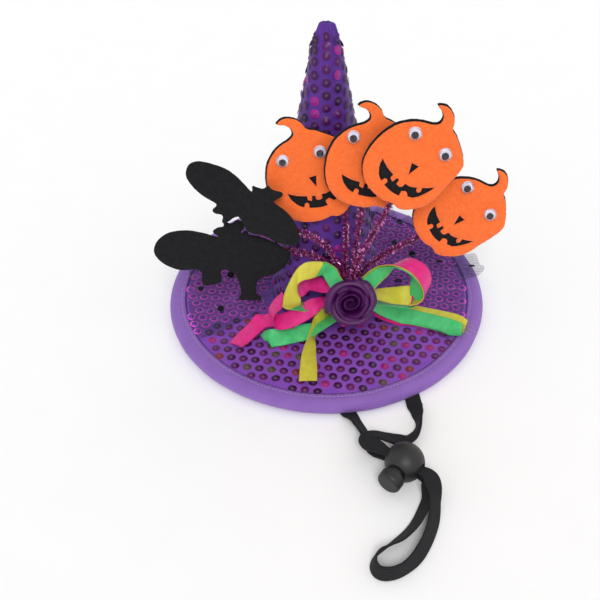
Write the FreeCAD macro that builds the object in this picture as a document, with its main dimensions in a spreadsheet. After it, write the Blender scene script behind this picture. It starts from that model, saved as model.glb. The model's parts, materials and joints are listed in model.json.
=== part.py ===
"""Trimmed costume witch hat: sequin brim and cone, tulle ruffle, bow, rose, felt charms on bendy
stems and an elastic chin strap with a ball lock.

+Z is up and -Y is the front. The origin is on the table, under the middle of the brim.
"""
import FreeCAD
import Part
import Sketcher
import math
import os

Vector = FreeCAD.Vector
Rotation = FreeCAD.Rotation
Placement = FreeCAD.Placement

doc = FreeCAD.newDocument("WitchHat")

# ---------------------------------------------------------------- driving dimensions (mm, degrees)

sheet = doc.addObject("Spreadsheet::Sheet", "Sizes")
sizes = {
    "BrimRadius": 90.0,           # outside of the binding
    "OpeningRadius": 29.0,        # hole in the brim
    "BrimRise": 2.0,              # the brim climbs this much from its rim to the crown
    "LiningThickness": 0.8,
    "FoamThickness": 2.5,
    "FabricThickness": 1.0,       # sequin cloth
    "BindingWidth": 9.0,
    "BindingUnder": 1.8,          # folded tape below the brim
    "BindingOver": 0.6,           # tape above the brim
    "BindingEnd": 0.8,            # tape outside the brim's edge
    "BindingRound": 0.9,
    "BandThickness": 0.8,         # head band inside the opening
    "BandDrop": 0.5,
    "BandHeight": 12.0,
    "CrownHeight": 168.0,
    "CrownTipLength": 14.0,       # unstiffened tip
    "CrownUpperLength": 53.0,     # from the neck under the tip down to the waist
    "CrownWaistRadius": 17.6,
    "CrownNeckRadius": 7.2,
    "CrownTipRadius": 3.2,
    "StiffenerThickness": 1.0,
    "TulleThickness": 1.5,
    "TulleSweep": 240.0,
    "TulleInset": 3.0,
    "SoftGap": 0.3,               # between soft pieces that are not sewn together
    "TrimX": 10.0,                # where the stems' bundle leaves the crown
    "TrimY": -28.5,
    "TrimZ": 38.0,
    "TrimLean": 8.0,              # the fan of charms leans back
    "StemRadius": 1.5,
    "LayerPitch": 7.8,            # depth between one layer of charms and the next
    "BundlePitch": 3.4,           # the same depth where the stems are bundled
    "FeltThickness": 1.0,
    "FeltMargin": 1.0,            # backing felt seen round the front felt
    "GlueGap": 0.1,
    "LobePitch": 6.75,
    "LobeRadius": 9.0,
    "PumpkinRadius": 20.5,
    "StalkRadius": 3.2,
    "EyeRadius": 3.0,
    "EyeBackThickness": 0.5,
    "EyeHeight": 1.9,
    "EyeWall": 0.3,
    "PupilRadius": 1.7,
    "PupilThickness": 0.45,
    "PupilOffset": 0.9,
    "BatSpan": 70.0,
    "HolderWidth": 15.0,
    "HolderHeight": 7.0,
    "RibbonWidth": 9.5,
    "RibbonThickness": 0.5,
    "RibbonPitch": 0.8,
    "RibbonBack": 3.0,            # depth of the ribbons' rear edge
    "KnotWidth": 10.0,
    "KnotHeight": 11.0,
    "KnotX": 3.0,
    "KnotV": -17.0,
    "LoopRadius": 10.6,
    "RoseRadius": 12.0,
    "RoseDepth": 9.0,
    "RoseElevation": 42.0,
    "RoseX": 12.7,
    "RoseY": -47.0,
    "RoseZ": 38.4,
    "StrapWidth": 8.0,
    "StrapThickness": 1.2,
    "LockRadius": 9.5,
    "LockX": 36.7,
    "LockY": -125.4,
    "LockTurn": -34.8,            # direction of the cord hole
    "LockHoleRadius": 3.8,
    "PlungerRadius": 4.3,
    "PlungerClearance": 0.25,
    "PlungerHoleRadius": 3.5,
    "PlungerHoleRest": 1.8,       # offset of the two holes while the spring pinches the cord
    "PlungerFoot": 0.9,
    "ButtonTravel": 2.5,
    "ButtonRadius": 5.8,
    "ButtonHeight": 5.0,
    "SpringWire": 0.25,
    "SpringTurns": 4.0,
    "SpringRoom": 2.1,
}
for row, (alias, number) in enumerate(sizes.items(), start=1):
    sheet.set("A%d" % row, alias)
    sheet.set("B%d" % row, str(number))
    sheet.setAlias("B%d" % row, alias)
doc.recompute()


def cell(alias):
    return float(sheet.get(alias))


# ---------------------------------------------------------------- helpers

pieces = []


def keep(name, item):
    item.Label = name
    pieces.append(item)
    return item


def solid_piece(name, shape, placement=None):
    """A piece whose shape comes from Part's own functions; its Placement follows its shape."""
    item = doc.addObject("Part::Feature", name)
    item.Shape = shape
    if placement is not None:
        item.Placement = placement.multiply(shape.Placement)
    return keep(name, item)


def origin_feature(body, role):
    return [item for item in body.Origin.OriginFeatures if item.Role == role][0]


def turned_body(name, corners, sweep=None):
    """A piece turned about Z from a half section; each corner is a pair of expressions."""
    body = doc.addObject("PartDesign::Body", name)
    sketch = body.newObject("Sketcher::SketchObject", name + "_section")
    sketch.AttachmentSupport = [(origin_feature(body, "XZ_Plane"), "")]
    sketch.MapMode = "FlatFace"
    points = [Vector(number_of(x), number_of(y), 0) for x, y in corners]
    for index, point in enumerate(points):
        sketch.addGeometry(Part.LineSegment(point, points[(index + 1) % len(points)]), False)
    for index in range(len(points)):
        sketch.addConstraint(Sketcher.Constraint("Coincident", index, 2, (index + 1) % len(points), 1))
    for index, (x, y) in enumerate(corners):
        if x == "0":
            sketch.addConstraint(Sketcher.Constraint("PointOnObject", index, 1, -2))
        else:
            bind(sketch, "DistanceX", index, points[index].x, x)
        bind(sketch, "DistanceY", index, points[index].y, y)
    turn = body.newObject("PartDesign::Revolution", name + "_turn")
    turn.Profile = sketch
    turn.ReferenceAxis = (sketch, ["V_Axis"])
    if sweep is None:
        turn.Angle = 360
    else:
        turn.Midplane = True
        turn.setExpression("Angle", sweep)
    body.Tip = turn
    return keep(name, body)


def bind(sketch, kind, index, number, expression):
    place = sketch.addConstraint(Sketcher.Constraint(kind, -1, 1, index, 1, number))
    sketch.setExpression("Constraints[%d]" % place, expression)


def number_of(expression):
    """The present value of a sheet expression."""
    sheet.set("D1", "=" + expression.replace("Sizes.", ""))
    sheet.recompute()
    return float(sheet.get("D1"))


def route(points):
    """Straight runs joined by tangent arcs, each as large as its two runs allow."""
    edges = []
    radii = []
    start = points[0]
    for before, corner, after in zip(points, points[1:], points[2:]):
        inward = (corner - before).normalize()
        outward = (after - corner).normalize()
        half_turn = inward.getAngle(outward) / 2
        setback = 0.45 * min((corner - before).Length, (after - corner).Length)
        radii.append(setback / math.tan(half_turn))
        first = corner - inward * setback
        last = corner + outward * setback
        towards_centre = (outward - inward).normalize()
        middle = corner + towards_centre * (radii[-1] / math.cos(half_turn) - radii[-1])
        edges.append(Part.LineSegment(start, first).toShape())
        edges.append(Part.Arc(first, middle, last).toShape())
        start = last
    edges.append(Part.LineSegment(start, points[-1]).toShape())
    return Part.Wire(edges), radii


def tube(points, radius):
    """A round tube along a route."""
    path, radii = route(points)
    heading = points[1] - points[0]
    ring = Part.Wire(Part.Circle(points[0], heading, radius).toShape())
    sweep = Part.BRepOffsetAPI.MakePipeShell(path)
    sweep.add(ring)
    sweep.build()
    sweep.makeSolid()
    solid = sweep.shape()
    ideal = math.pi * radius ** 2 * path.Length
    print("  tube length %.1f radii %s volume/ideal %.3f"
          % (path.Length, [round(r, 1) for r in radii], solid.Volume / ideal))
    return solid


def band(path, across, width, thickness):
    """A flat band along a wire, its width held along one direction."""
    start = path.Edges[0].valueAt(path.Edges[0].FirstParameter)
    heading = path.Edges[0].tangentAt(path.Edges[0].FirstParameter)
    side = across.cross(heading).normalize() * (thickness / 2)
    edge = across * (width / 2)
    corners = [start - edge - side, start + edge - side, start + edge + side, start - edge + side]
    section = Part.makePolygon(corners + corners[:1])
    sweep = Part.BRepOffsetAPI.MakePipeShell(path)
    sweep.setBiNormalMode(across)
    sweep.add(section)
    sweep.build()
    sweep.makeSolid()
    return sweep.shape()


def flat_shape(wire, thickness, start=0.0):
    """A plate cut from sheet, lying on its own plane."""
    plate = Part.Face(wire).extrude(Vector(0, 0, thickness))
    plate.translate(Vector(0, 0, start))
    return plate


def ellipse_plate(x, y, across, along, thickness):
    big, small = max(across, along), min(across, along)
    curve = Part.Ellipse(Vector(0, 0, 0), big, small)
    plate = flat_shape(Part.Wire(curve.toShape()), thickness)
    if along > across:
        plate.rotate(Vector(0, 0, 0), Vector(0, 0, 1), 90)
    plate.translate(Vector(x, y, 0))
    return plate


def polygon_plate(corners, thickness):
    points = [Vector(x, y, 0) for x, y in corners]
    return flat_shape(Part.makePolygon(points + points[:1]), thickness)


def fused(shapes):
    return shapes[0].multiFuse(shapes[1:]).removeSplitter()


# ---------------------------------------------------------------- brim

low = "Sizes.BindingUnder"
stack = "Sizes.LiningThickness + Sizes.FoamThickness + Sizes.FabricThickness"
flat_radius = "Sizes.BrimRadius - Sizes.BindingWidth - 1"
edge_radius = "Sizes.BrimRadius - Sizes.BindingEnd"
crown_seat = low + " + Sizes.BrimRise + " + stack


def brim_layer(name, below, thickness):
    """One sheet of the brim: flat inside the binding, then climbing to the opening."""
    bottom = low + " + " + below
    top = bottom + " + " + thickness
    turned_body(name, [
        ("Sizes.OpeningRadius", bottom + " + Sizes.BrimRise"),
        (flat_radius, bottom),
        (edge_radius, bottom),
        (edge_radius, top),
        (flat_radius, top),
        ("Sizes.OpeningRadius", top + " + Sizes.BrimRise"),
    ])


def make_brim():
    brim_layer("brim_lining", "0", "Sizes.LiningThickness")
    brim_layer("brim_foam", "Sizes.LiningThickness", "Sizes.FoamThickness")
    brim_layer("brim_sequin_fabric", "Sizes.LiningThickness + Sizes.FoamThickness",
               "Sizes.FabricThickness")


def make_binding(reliefs):
    """Folded tape round the rim, with a shallow relief over each run of the strap."""
    inner = "Sizes.BrimRadius - Sizes.BindingWidth"
    top = low + " + " + stack
    height = top + " + Sizes.BindingOver"
    corner = "Sizes.BrimRadius - Sizes.BindingRound"
    tape = turned_body("binding_tape", [
        (inner, "0"),
        (corner, "0"),
        ("Sizes.BrimRadius", "Sizes.BindingRound"),
        ("Sizes.BrimRadius", height + " - Sizes.BindingRound"),
        (corner, height),
        (inner, height),
        (inner, top),
        (edge_radius, top),
        (edge_radius, low),
        (inner, low),
    ])
    pieces.remove(tape)
    cut = doc.addObject("Part::Cut", "brim_binding")
    cut.Base = tape
    cut.Tool = reliefs
    keep("brim_binding", cut)


def make_reliefs(runs):
    """Rectangular bars, one along each strap run where it passes under the rim."""
    bars = []
    clearance = cell("SoftGap")
    for inner_end, outer_end in runs:
        heading = (outer_end - inner_end).normalize()
        middle = (outer_end + inner_end) * 0.5
        bar = doc.addObject("Part::Box", "relief_bar")
        bar.Length = (outer_end - inner_end).Length
        bar.setExpression("Width", "Sizes.StrapWidth + 2 * Sizes.SoftGap")
        bar.setExpression("Height", "Sizes.StrapThickness + Sizes.SoftGap + 1")
        width = cell("StrapWidth") + 2 * clearance
        turn = Rotation(Vector(1, 0, 0), heading)
        corner = middle - turn.multVec(Vector(bar.Length.Value / 2, width / 2, 0))
        bar.Placement = Placement(Vector(corner.x, corner.y, -1), turn)
        bars.append(bar)
    both = doc.addObject("Part::MultiFuse", "reliefs")
    both.Shapes = bars
    return both


# ---------------------------------------------------------------- crown

crown_neck = "(Sizes.CrownHeight - Sizes.CrownTipLength)"
crown_waist = "(Sizes.CrownHeight - Sizes.CrownTipLength - Sizes.CrownUpperLength)"
crown_slope = "(" + crown_waist + " - (" + crown_seat + "))"
base_radius = "(Sizes.OpeningRadius + Sizes.StiffenerThickness + Sizes.FabricThickness)"


def make_crown():
    inside = " - Sizes.FabricThickness"
    turned_body("crown_sequin_fabric", [
        (base_radius, crown_seat),
        ("Sizes.CrownWaistRadius", crown_waist),
        ("Sizes.CrownNeckRadius", crown_neck),
        ("Sizes.CrownTipRadius", "Sizes.CrownHeight"),
        ("0", "Sizes.CrownHeight"),
        ("0", "Sizes.CrownHeight" + inside),
        ("Sizes.CrownTipRadius" + inside, "Sizes.CrownHeight" + inside),
        ("Sizes.CrownNeckRadius" + inside, crown_neck),
        ("Sizes.CrownWaistRadius" + inside, crown_waist),
        (base_radius + inside, crown_seat),
    ])
    board = inside + " - Sizes.StiffenerThickness"
    turned_body("crown_stiffener", [
        (base_radius + inside, crown_seat),
        ("Sizes.CrownWaistRadius" + inside, crown_waist),
        ("Sizes.CrownNeckRadius" + inside, crown_neck),
        ("Sizes.CrownNeckRadius" + board, crown_neck),
        ("Sizes.CrownWaistRadius" + board, crown_waist),
        (base_radius + board, crown_seat),
    ])
    top = "(" + low + " + Sizes.BrimRise - Sizes.BandDrop + Sizes.BandHeight)"
    taper = ("(" + base_radius + " - Sizes.CrownWaistRadius) * (" + top + " - (" + crown_seat
             + ")) / " + crown_slope)
    turned_body("head_band", [
        ("Sizes.OpeningRadius", low + " + Sizes.BrimRise - Sizes.BandDrop"),
        ("Sizes.OpeningRadius", crown_seat),
        ("Sizes.OpeningRadius - " + taper, top),
        ("Sizes.OpeningRadius - Sizes.BandThickness - " + taper, top),
        ("Sizes.OpeningRadius - Sizes.BandThickness", crown_seat),
        ("Sizes.OpeningRadius - Sizes.BandThickness", low + " + Sizes.BrimRise - Sizes.BandDrop"),
    ])


def crown_radius_at(height):
    """Outside radius of the crown below its waist."""
    seat = number_of(crown_seat)
    base = number_of(base_radius)
    share = (height - seat) / (number_of(crown_waist) - seat)
    return base + (cell("CrownWaistRadius") - base) * share


def make_tulle():
    """A ruffle over the rear and sides of the brim, turned up a little at the crown."""
    over = " + Sizes.SoftGap"
    inner = base_radius + over
    outer = "Sizes.BrimRadius - Sizes.BindingWidth - Sizes.TulleInset"
    rim_top = low + " + " + stack + over
    seat = crown_seat + over
    ruffle = turned_body("tulle_ruffle", [
        (inner, seat),
        (outer, rim_top),
        (outer, rim_top + " + Sizes.TulleThickness"),
        (inner, seat + " + Sizes.TulleThickness"),
    ], "Sizes.TulleSweep")
    ruffle.Placement = Placement(Vector(0, 0, 0), Rotation(Vector(0, 0, 1), 90))


# ---------------------------------------------------------------- the fan of stems and charms

fan_turn = Rotation(Vector(1, 0, 0), 90 - cell("TrimLean"))
fan = Placement(Vector(cell("TrimX"), cell("TrimY"), cell("TrimZ")), fan_turn)
fan_out = fan_turn.multVec(Vector(0, 0, 1))


def fan_point(x, up, out):
    """A place in the fan: x to the right, up in its leaning plane, out towards the front."""
    return fan.multVec(Vector(x, up, out))


def bundled(layer):
    return layer * cell("BundlePitch")


def spread(layer):
    return layer * cell("LayerPitch")


root_up = -4.0
stems = {
    # name: (layer, root x, [(x, up, share of the way out to the layer)])
    "pumpkin_stem_1": (0, -0.4, [(0.0, 20.0, 1.0), (0.3, 41.0, 1.0), (-5.0, 58.0, 1.0)]),
    "pumpkin_stem_2": (1, 4.0, [(4.6, 12.0, 0.4), (5.5, 31.0, 1.0), (7.6, 47.0, 1.0), (7.0, 66.0, 1.0)]),
    "pumpkin_stem_3": (2, 2.8, [(4.2, 13.0, 0.35), (10.4, 32.0, 0.8), (19.4, 50.0, 1.0), (26.0, 68.0, 1.0)]),
    "pumpkin_stem_4": (0, 4.6, [(8.4, 6.0, 0.0), (18.6, 15.4, 0.0), (33.0, 24.5, 0.0), (48.0, 32.5, 0.0)]),
    "bat_stem_upper": (1, -0.2, [(-2.4, 9.0, 0.35), (-7.4, 22.0, 0.85), (-14.0, 29.6, 1.0),
                                 (-24.0, 34.8, 1.0), (-38.0, 40.5, 1.0)]),
    "bat_stem_lower": (0, -4.6, [(-6.2, 5.0, 0.0), (-10.6, 12.6, 0.0), (-19.0, 16.6, 0.0),
                                 (-30.0, 19.2, 0.0), (-47.0, 19.8, 0.0)]),
}


def make_stem(name):
    layer, root, course = stems[name]
    near = bundled(layer)
    far = spread(layer)
    points = [fan_point(root, root_up, near), fan_point(root, root_up + 5, near)]
    points += [fan_point(x, up, near + (far - near) * share) for x, up, share in course]
    print(name)
    solid_piece(name, tube(points, cell("StemRadius")))


charms = {
    # number: (layer, x, up, clockwise tilt)
    1: (0, -19.5, 63.0, -12.0),
    2: (1, 9.6, 74.0, 6.0),
    3: (2, 29.8, 78.4, 37.0),
    4: (0, 57.2, 42.4, 50.0),
}
eye_spots = {
    # number: left and right eye on the face; they are glued by hand, no two pairs alike
    1: ((-9.6, 10.4), (9.0, 11.4)),
    2: ((-8.4, 12.2), (7.6, 12.8)),
    3: ((-8.0, 11.0), (9.8, 11.4)),
    4: ((-10.2, 10.9), (9.6, 10.9)),
}
eye_words = ("left", "right")
lobe_centre = -2.0            # middle of the lobes above the middle of the charm
lobe_drop = 1.1               # each lobe is lower than the last by this times its step squared


def charm_placement(layer, x, up, tilt, height):
    """On the front of the stem of that layer, turned clockwise, its own Z out of the plane."""
    out = spread(layer) + cell("StemRadius") + cell("GlueGap") + height
    return fan.multiply(Placement(Vector(x, up, out), Rotation(Vector(0, 0, 1), -tilt)))


def pumpkin_plate(margin, thickness):
    """Five lobes side by side under a curled stalk."""
    lobes = []
    for step in range(-2, 3):
        tall = cell("PumpkinRadius") - lobe_drop * step ** 2 - margin
        wide = cell("LobeRadius") - margin
        lobes.append(ellipse_plate(step * cell("LobePitch"), lobe_centre, wide, tall, thickness))
    lobes.append(stalk_plate(margin, thickness))
    return fused(lobes)


stalk_sink = 6.0              # foot of the stalk below the top of the lobes
stalk_rise = 9.0
stalk_reach = 8.0             # tip to the left of the middle
stalk_tip_drop = 2.4


def stalk_plate(margin, thickness):
    """A horn that rises from between the lobes and curls to the left."""
    half = cell("StalkRadius") - margin / 2
    foot = cell("PumpkinRadius") - stalk_sink
    top = cell("PumpkinRadius") + stalk_rise - margin
    tip = Vector(margin - stalk_reach, top - stalk_tip_drop, 0)
    outline = Part.Wire([
        Part.LineSegment(Vector(-half, foot, 0), Vector(half + 0.8, foot, 0)).toShape(),
        Part.Arc(Vector(half + 0.8, foot, 0), Vector(2.6 - margin / 2, top - 3, 0),
                 Vector(-3.4, top, 0)).toShape(),
        Part.Arc(Vector(-3.4, top, 0), Vector(-6.4 + margin / 2, top - 0.4, 0), tip).toShape(),
        Part.Arc(tip, Vector(-3.2, top - 4.6, 0), Vector(-half, foot, 0)).toShape(),
    ])
    return flat_shape(outline, thickness)


nose_outline = [(0, 1.6), (3.0, -5.0), (-3.0, -5.0)]
grin_corners = [(-15, -6), (15, -6)]
grin_lowest = (0, -19.5)
grin_middle = (0, -13.0)
tooth_outlines = [
    [(-7.2, -7), (-3.2, -7), (-3.6, -13.8), (-6.8, -13.0)],
    [(3.2, -7), (7.2, -7), (6.8, -13.0), (3.6, -13.8)],
    [(-2.2, -20), (2.2, -20), (1.8, -15.6), (-1.8, -15.6)],
]


def face_cuts(thickness):
    """The nose and the toothed grin cut out of the front felt."""
    left, right = [Vector(*corner, 0) for corner in grin_corners]
    grin = flat_shape(Part.Wire([
        Part.Arc(left, Vector(*grin_lowest, 0), right).toShape(),
        Part.Arc(right, Vector(*grin_middle, 0), left).toShape(),
    ]), thickness)
    for outline in tooth_outlines:
        grin = grin.cut(polygon_plate(outline, thickness))
    return polygon_plate(nose_outline, thickness), grin


def make_charm(number):
    layer, x, up, tilt = charms[number]
    felt = cell("FeltThickness")
    glue = cell("GlueGap") / 2
    solid_piece("pumpkin_backing_%d" % number, pumpkin_plate(0, felt),
                charm_placement(layer, x, up, tilt, 0))
    front = pumpkin_plate(cell("FeltMargin"), felt)
    for opening in face_cuts(felt):
        front = front.cut(opening)
    front_height = felt + glue
    solid_piece("pumpkin_front_%d" % number, front, charm_placement(layer, x, up, tilt, front_height))
    eye_height = front_height + felt + glue
    backs = []
    domes = []
    for spot in eye_spots[number]:
        centre = Vector(*spot, 0)
        backs.append(Part.makeCylinder(cell("EyeRadius"), cell("EyeBackThickness"), centre))
        domes.append(eye_dome(centre + Vector(0, 0, cell("EyeBackThickness"))))
    solid_piece("eye_backs_%d" % number, Part.makeCompound(backs),
                charm_placement(layer, x, up, tilt, eye_height))
    solid_piece("eye_domes_%d" % number, Part.makeCompound(domes),
                charm_placement(layer, x, up, tilt, eye_height))
    for spot, word in zip(eye_spots[number], eye_words):
        make_pupil(number, spot, word, eye_height)


def eye_dome(foot):
    """A clear cap: a short wall under a shallow curve, hollow inside."""
    wall = cell("EyeWall")
    outside = domed_cylinder(cell("EyeRadius"), cell("EyeHeight"))
    inside = domed_cylinder(cell("EyeRadius") - wall, cell("EyeHeight") - wall)
    cap = outside.cut(inside)
    cap.translate(foot)
    return cap


def domed_cylinder(radius, height):
    rise = height * 0.4
    ball_radius = (radius ** 2 + rise ** 2) / (2 * rise)
    ball = Part.makeSphere(ball_radius, Vector(0, 0, height - ball_radius))
    return Part.makeCylinder(radius, height).common(ball)


def make_pupil(number, spot, word, eye_height):
    """A loose disc that lies in the lowest part of its eye."""
    layer, x, up, tilt = charms[number]
    height = eye_height + cell("EyeBackThickness") + cell("GlueGap")
    eye = charm_placement(layer, x, up, tilt, height)
    centre = eye.multVec(Vector(*spot, 0))
    down = fan_turn.multVec(Vector(0, -cell("PupilOffset"), 0))
    disc = Part.makeCylinder(cell("PupilRadius"), cell("PupilThickness"))
    solid_piece("pupil_%d_%s" % (number, word), disc, Placement(centre + down, fan_turn))


bats = {
    "bat_upper": (1, -48.9, 48.2, 30.0),
    "bat_lower": (0, -62.5, 19.6, 0.0),
}


# each oval is the x and y of its middle and its two radii
bat_body = (0, -1, 10, 9.5)
bat_head = (0, 9, 6.5, 6)
bat_wing = (15, 9)
bat_foot = (11, -9.5, 5.5, 5.5)
bat_ear = [(1.2, 12), (6.2, 9), (5.2, 18.5)]


def make_bat(name):
    """One felt silhouette: two round wings, an eared head, a body and two feet."""
    layer, x, up, tilt = bats[name]
    felt = cell("FeltThickness")
    long, deep = bat_wing
    wing_middle = cell("BatSpan") / 2 - long
    foot_x, foot_y, foot_wide, foot_tall = bat_foot
    shapes = [ellipse_plate(*bat_body, felt), ellipse_plate(*bat_head, felt)]
    for side in (-1, 1):
        shapes.append(ellipse_plate(side * wing_middle, 0, long, deep, felt))
        shapes.append(ellipse_plate(side * foot_x, foot_y, foot_wide, foot_tall, felt))
        shapes.append(polygon_plate([(side * across, rise) for across, rise in bat_ear], felt))
    solid_piece(name, fused(shapes), charm_placement(layer, x, up, tilt, 0))


# ---------------------------------------------------------------- what carries the trim

knot_half = cell("KnotWidth") / 2
knot_low = cell("KnotV") - cell("KnotHeight") / 2
knot_high = cell("KnotV") + cell("KnotHeight") / 2
knot_wall = 1.0               # front and back of the band round the bow
knot_rim = 0.9                # its top and bottom
knot_inset = 0.1              # the band is a little narrower than the room between the loops
knot_left = cell("KnotX") - knot_half + knot_inset
knot_right = cell("KnotX") + knot_half - knot_inset
ribbon_front = cell("RibbonBack") + cell("RibbonWidth")


spare = 1.0                   # how far a cutting block stands past what it cuts


def fan_box(x, up, out):
    """A block with its sides along the fan's own directions; each argument is a pair."""
    block = Part.makeBox(x[1] - x[0], up[1] - up[0], out[1] - out[0], Vector(x[0], up[0], out[0]))
    block.Placement = fan
    return block


def crown_cone(extra=0.0):
    """The space that the crown fills below its waist, grown outwards a little."""
    seat = number_of(crown_seat)
    top = number_of(crown_waist)
    return Part.makeCone(crown_radius_at(seat) + extra, crown_radius_at(top) + extra, top - seat,
                         Vector(0, 0, seat))


holder_depth = 6.0            # into the crown's space, from which the crown is cut
tongue_inset = 1.0
tongue_drop = 3.0             # the tongue reaches this far below the middle of the knot


def make_holder():
    """The wrapped block glued to the crown that holds the stems' feet and the bow."""
    top = root_up - cell("SoftGap")
    foot = top - cell("HolderHeight")
    half = cell("HolderWidth") / 2
    buried = -holder_depth
    behind_loops = cell("RibbonBack") - cell("SoftGap")
    depth = bundled(2) + cell("StemRadius")
    knot_back = cell("RibbonBack") - knot_wall
    wide = fan_box((-half, half), (foot, top), (buried, behind_loops))
    narrow = fan_box((knot_left, knot_right), (foot, top), (buried, depth))
    tongue = fan_box((knot_left + tongue_inset, knot_right - tongue_inset),
                     (cell("KnotV") - tongue_drop, top - tongue_inset), (buried, knot_back))
    solid_piece("stem_holder", fused([wide, narrow, tongue]).cut(crown_cone()))


def make_knot():
    """The band wound round the middle of the bow."""
    shell = fan_box((knot_left, knot_right), (knot_low, knot_high),
                    (cell("RibbonBack") - knot_wall, ribbon_front + knot_wall))
    room = fan_box((knot_left - spare, knot_right + spare), (knot_low + knot_rim, knot_high - knot_rim),
                   (cell("RibbonBack"), ribbon_front))
    solid_piece("bow_knot", shell.cut(room))


def loop_course(start, finish, centre, radius, side):
    """A ribbon loop: out along a tangent, round a circle and back along another."""
    first = tangent_point(start, centre, radius, side)
    last = tangent_point(finish, centre, radius, -side)
    far = centre + (centre - (start + finish) * 0.5).normalize() * radius
    return Part.Wire([
        Part.LineSegment(start, first).toShape(),
        Part.Arc(first, far, last).toShape(),
        Part.LineSegment(last, finish).toShape(),
    ])


def tangent_point(point, centre, radius, side):
    offset = centre - point
    reach = math.sqrt(offset.Length ** 2 - radius ** 2)
    bearing = math.atan2(offset.y, offset.x) + side * math.asin(radius / offset.Length)
    return point + Vector(math.cos(bearing), math.sin(bearing), 0) * reach


ribbons = {
    # name: (order from the outside, end of the left tail, end of the right tail)
    "ribbon_pink": (0, -60.0, 66.0),
    "ribbon_yellow": (1, -30.0, 60.0),
    "ribbon_green": (2, -44.0, 68.0),
}


loop_reach = {-1: 25.0, 1: 26.0}     # middle of the left and right loop from the middle of the knot
loop_height = 2.0
loop_top_gap = 1.3            # below the top of the knot, where a loop's upper run enters
loop_top_step = 1.9           # the upper runs close up by this times the pitch
loop_foot_gap = 1.2           # below the middle of the knot
tail_gap = 1.5                # above the foot of the knot
tail_slope = 0.6
tail_bends = (6.0, 11.0)      # where a tail turns down and where it turns level
tail_floor = -29.6
tail_rise = 0.3               # a level tail climbs with the brim
core_gap = 0.2                # round the layers inside the knot
core_inset = 1.0


def make_ribbon(name):
    """Two loops and two tails of one ribbon, joined by the layer inside the knot."""
    order, left_end, right_end = ribbons[name]
    width = cell("RibbonWidth")
    thickness = cell("RibbonThickness")
    step = cell("RibbonPitch") * order
    middle = cell("RibbonBack") + width / 2
    inside_knot = Part.makeBox(2 * knot_half, knot_high - knot_low, width,
                               Vector(cell("KnotX") - knot_half, knot_low, -width / 2))
    parts = []
    for side, tail_end in ((-1, left_end), (1, right_end)):
        face = cell("KnotX") + side * knot_half
        upper = Vector(face, knot_high - loop_top_gap - loop_top_step * step, 0)
        lower = Vector(face, cell("KnotV") - loop_foot_gap + step, 0)
        centre = Vector(cell("KnotX") + side * loop_reach[side], loop_height, 0)
        loop = loop_course(upper, lower, centre, cell("LoopRadius") - step, side)
        parts.append(band(loop, Vector(0, 0, 1), width, thickness))
        floor = tail_floor + step
        leave = knot_low + tail_gap + step
        tail = route([
            Vector(face, leave, 0),
            Vector(face + side * (tail_bends[0] + step), leave - tail_slope, 0),
            Vector(face + side * (tail_bends[1] + step), floor, 0),
            Vector(tail_end, floor + tail_rise, 0),
        ])[0]
        parts.append(band(tail, Vector(0, 0, 1), width, thickness))
    core_depth = (width - core_gap) / len(ribbons) - core_gap
    core_back = core_gap - width / 2 + order * (core_depth + core_gap)
    core = Part.makeBox(2 * knot_half, knot_high - knot_low - 2 * core_inset, core_depth,
                        Vector(cell("KnotX") - knot_half, knot_low + core_inset, core_back))
    parts = [part.cut(inside_knot) for part in parts]
    solid_piece(name, fused(parts + [core]), fan.multiply(Placement(Vector(0, 0, middle), Rotation())))


# ---------------------------------------------------------------- rose

rose_axis = Vector(0, -math.cos(math.radians(cell("RoseElevation"))),
                   math.sin(math.radians(cell("RoseElevation"))))
rose_place = Placement(Vector(cell("RoseX"), cell("RoseY"), cell("RoseZ")),
                       Rotation(Vector(0, 0, 1), rose_axis))
outer_share = 0.68            # inner edge of the outer petals, of the rose's radius
inner_share = 0.36            # inner edge of the inner petals
foot_share = 0.8              # a ring is narrower at its foot
petal_gap = 0.15
petal_foot = 3.5              # height over which a ring widens
petal_shoulder = 3.0
petal_lip = 1.6
bud_lip = 1.4
bud_shoulder = 0.8
stalk_profile = [(0, -8), (3, -8), (6.5, 0), (0, 0)]     # radius, height above the rose's back


def turned_shape(corners):
    """A solid of revolution from straight half-section corners (radius, height)."""
    points = [Vector(x, 0, z) for x, z in corners]
    return Part.Face(Part.makePolygon(points + points[:1])).revolve(Vector(0, 0, 0), Vector(0, 0, 1), 360)


def make_rose():
    """Rolled petals: a bud, two rings of petals round it and a wrapped foot."""
    radius = cell("RoseRadius")
    half = cell("RoseDepth") / 2
    bud = radius * inner_share
    belt = radius * outer_share
    low = petal_foot - half
    rim = half - petal_lip
    for name, inner, outer in (("rose_petals_outer", belt, radius), ("rose_petals_inner", bud, belt)):
        solid_piece(name, turned_shape([
            (inner * foot_share + petal_gap, -half), (outer * foot_share, -half), (outer, low),
            (outer, half - petal_shoulder), (outer - petal_lip, rim), (inner + petal_gap, rim),
            (inner + petal_gap, low),
        ]), rose_place)
    solid_piece("rose_center", turned_shape([
        (0, -half), (bud * foot_share, -half), (bud, low), (bud, half - bud_shoulder),
        (bud - bud_lip, half), (0, half),
    ]), rose_place)
    foot = turned_shape([(across, height - half) for across, height in stalk_profile])
    foot.Placement = rose_place
    solid_piece("rose_base", foot.cut(fan_box((-30, 30), (-40, 40), (-30, ribbon_front + 1))))


# ---------------------------------------------------------------- chin strap and its ball lock

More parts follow.
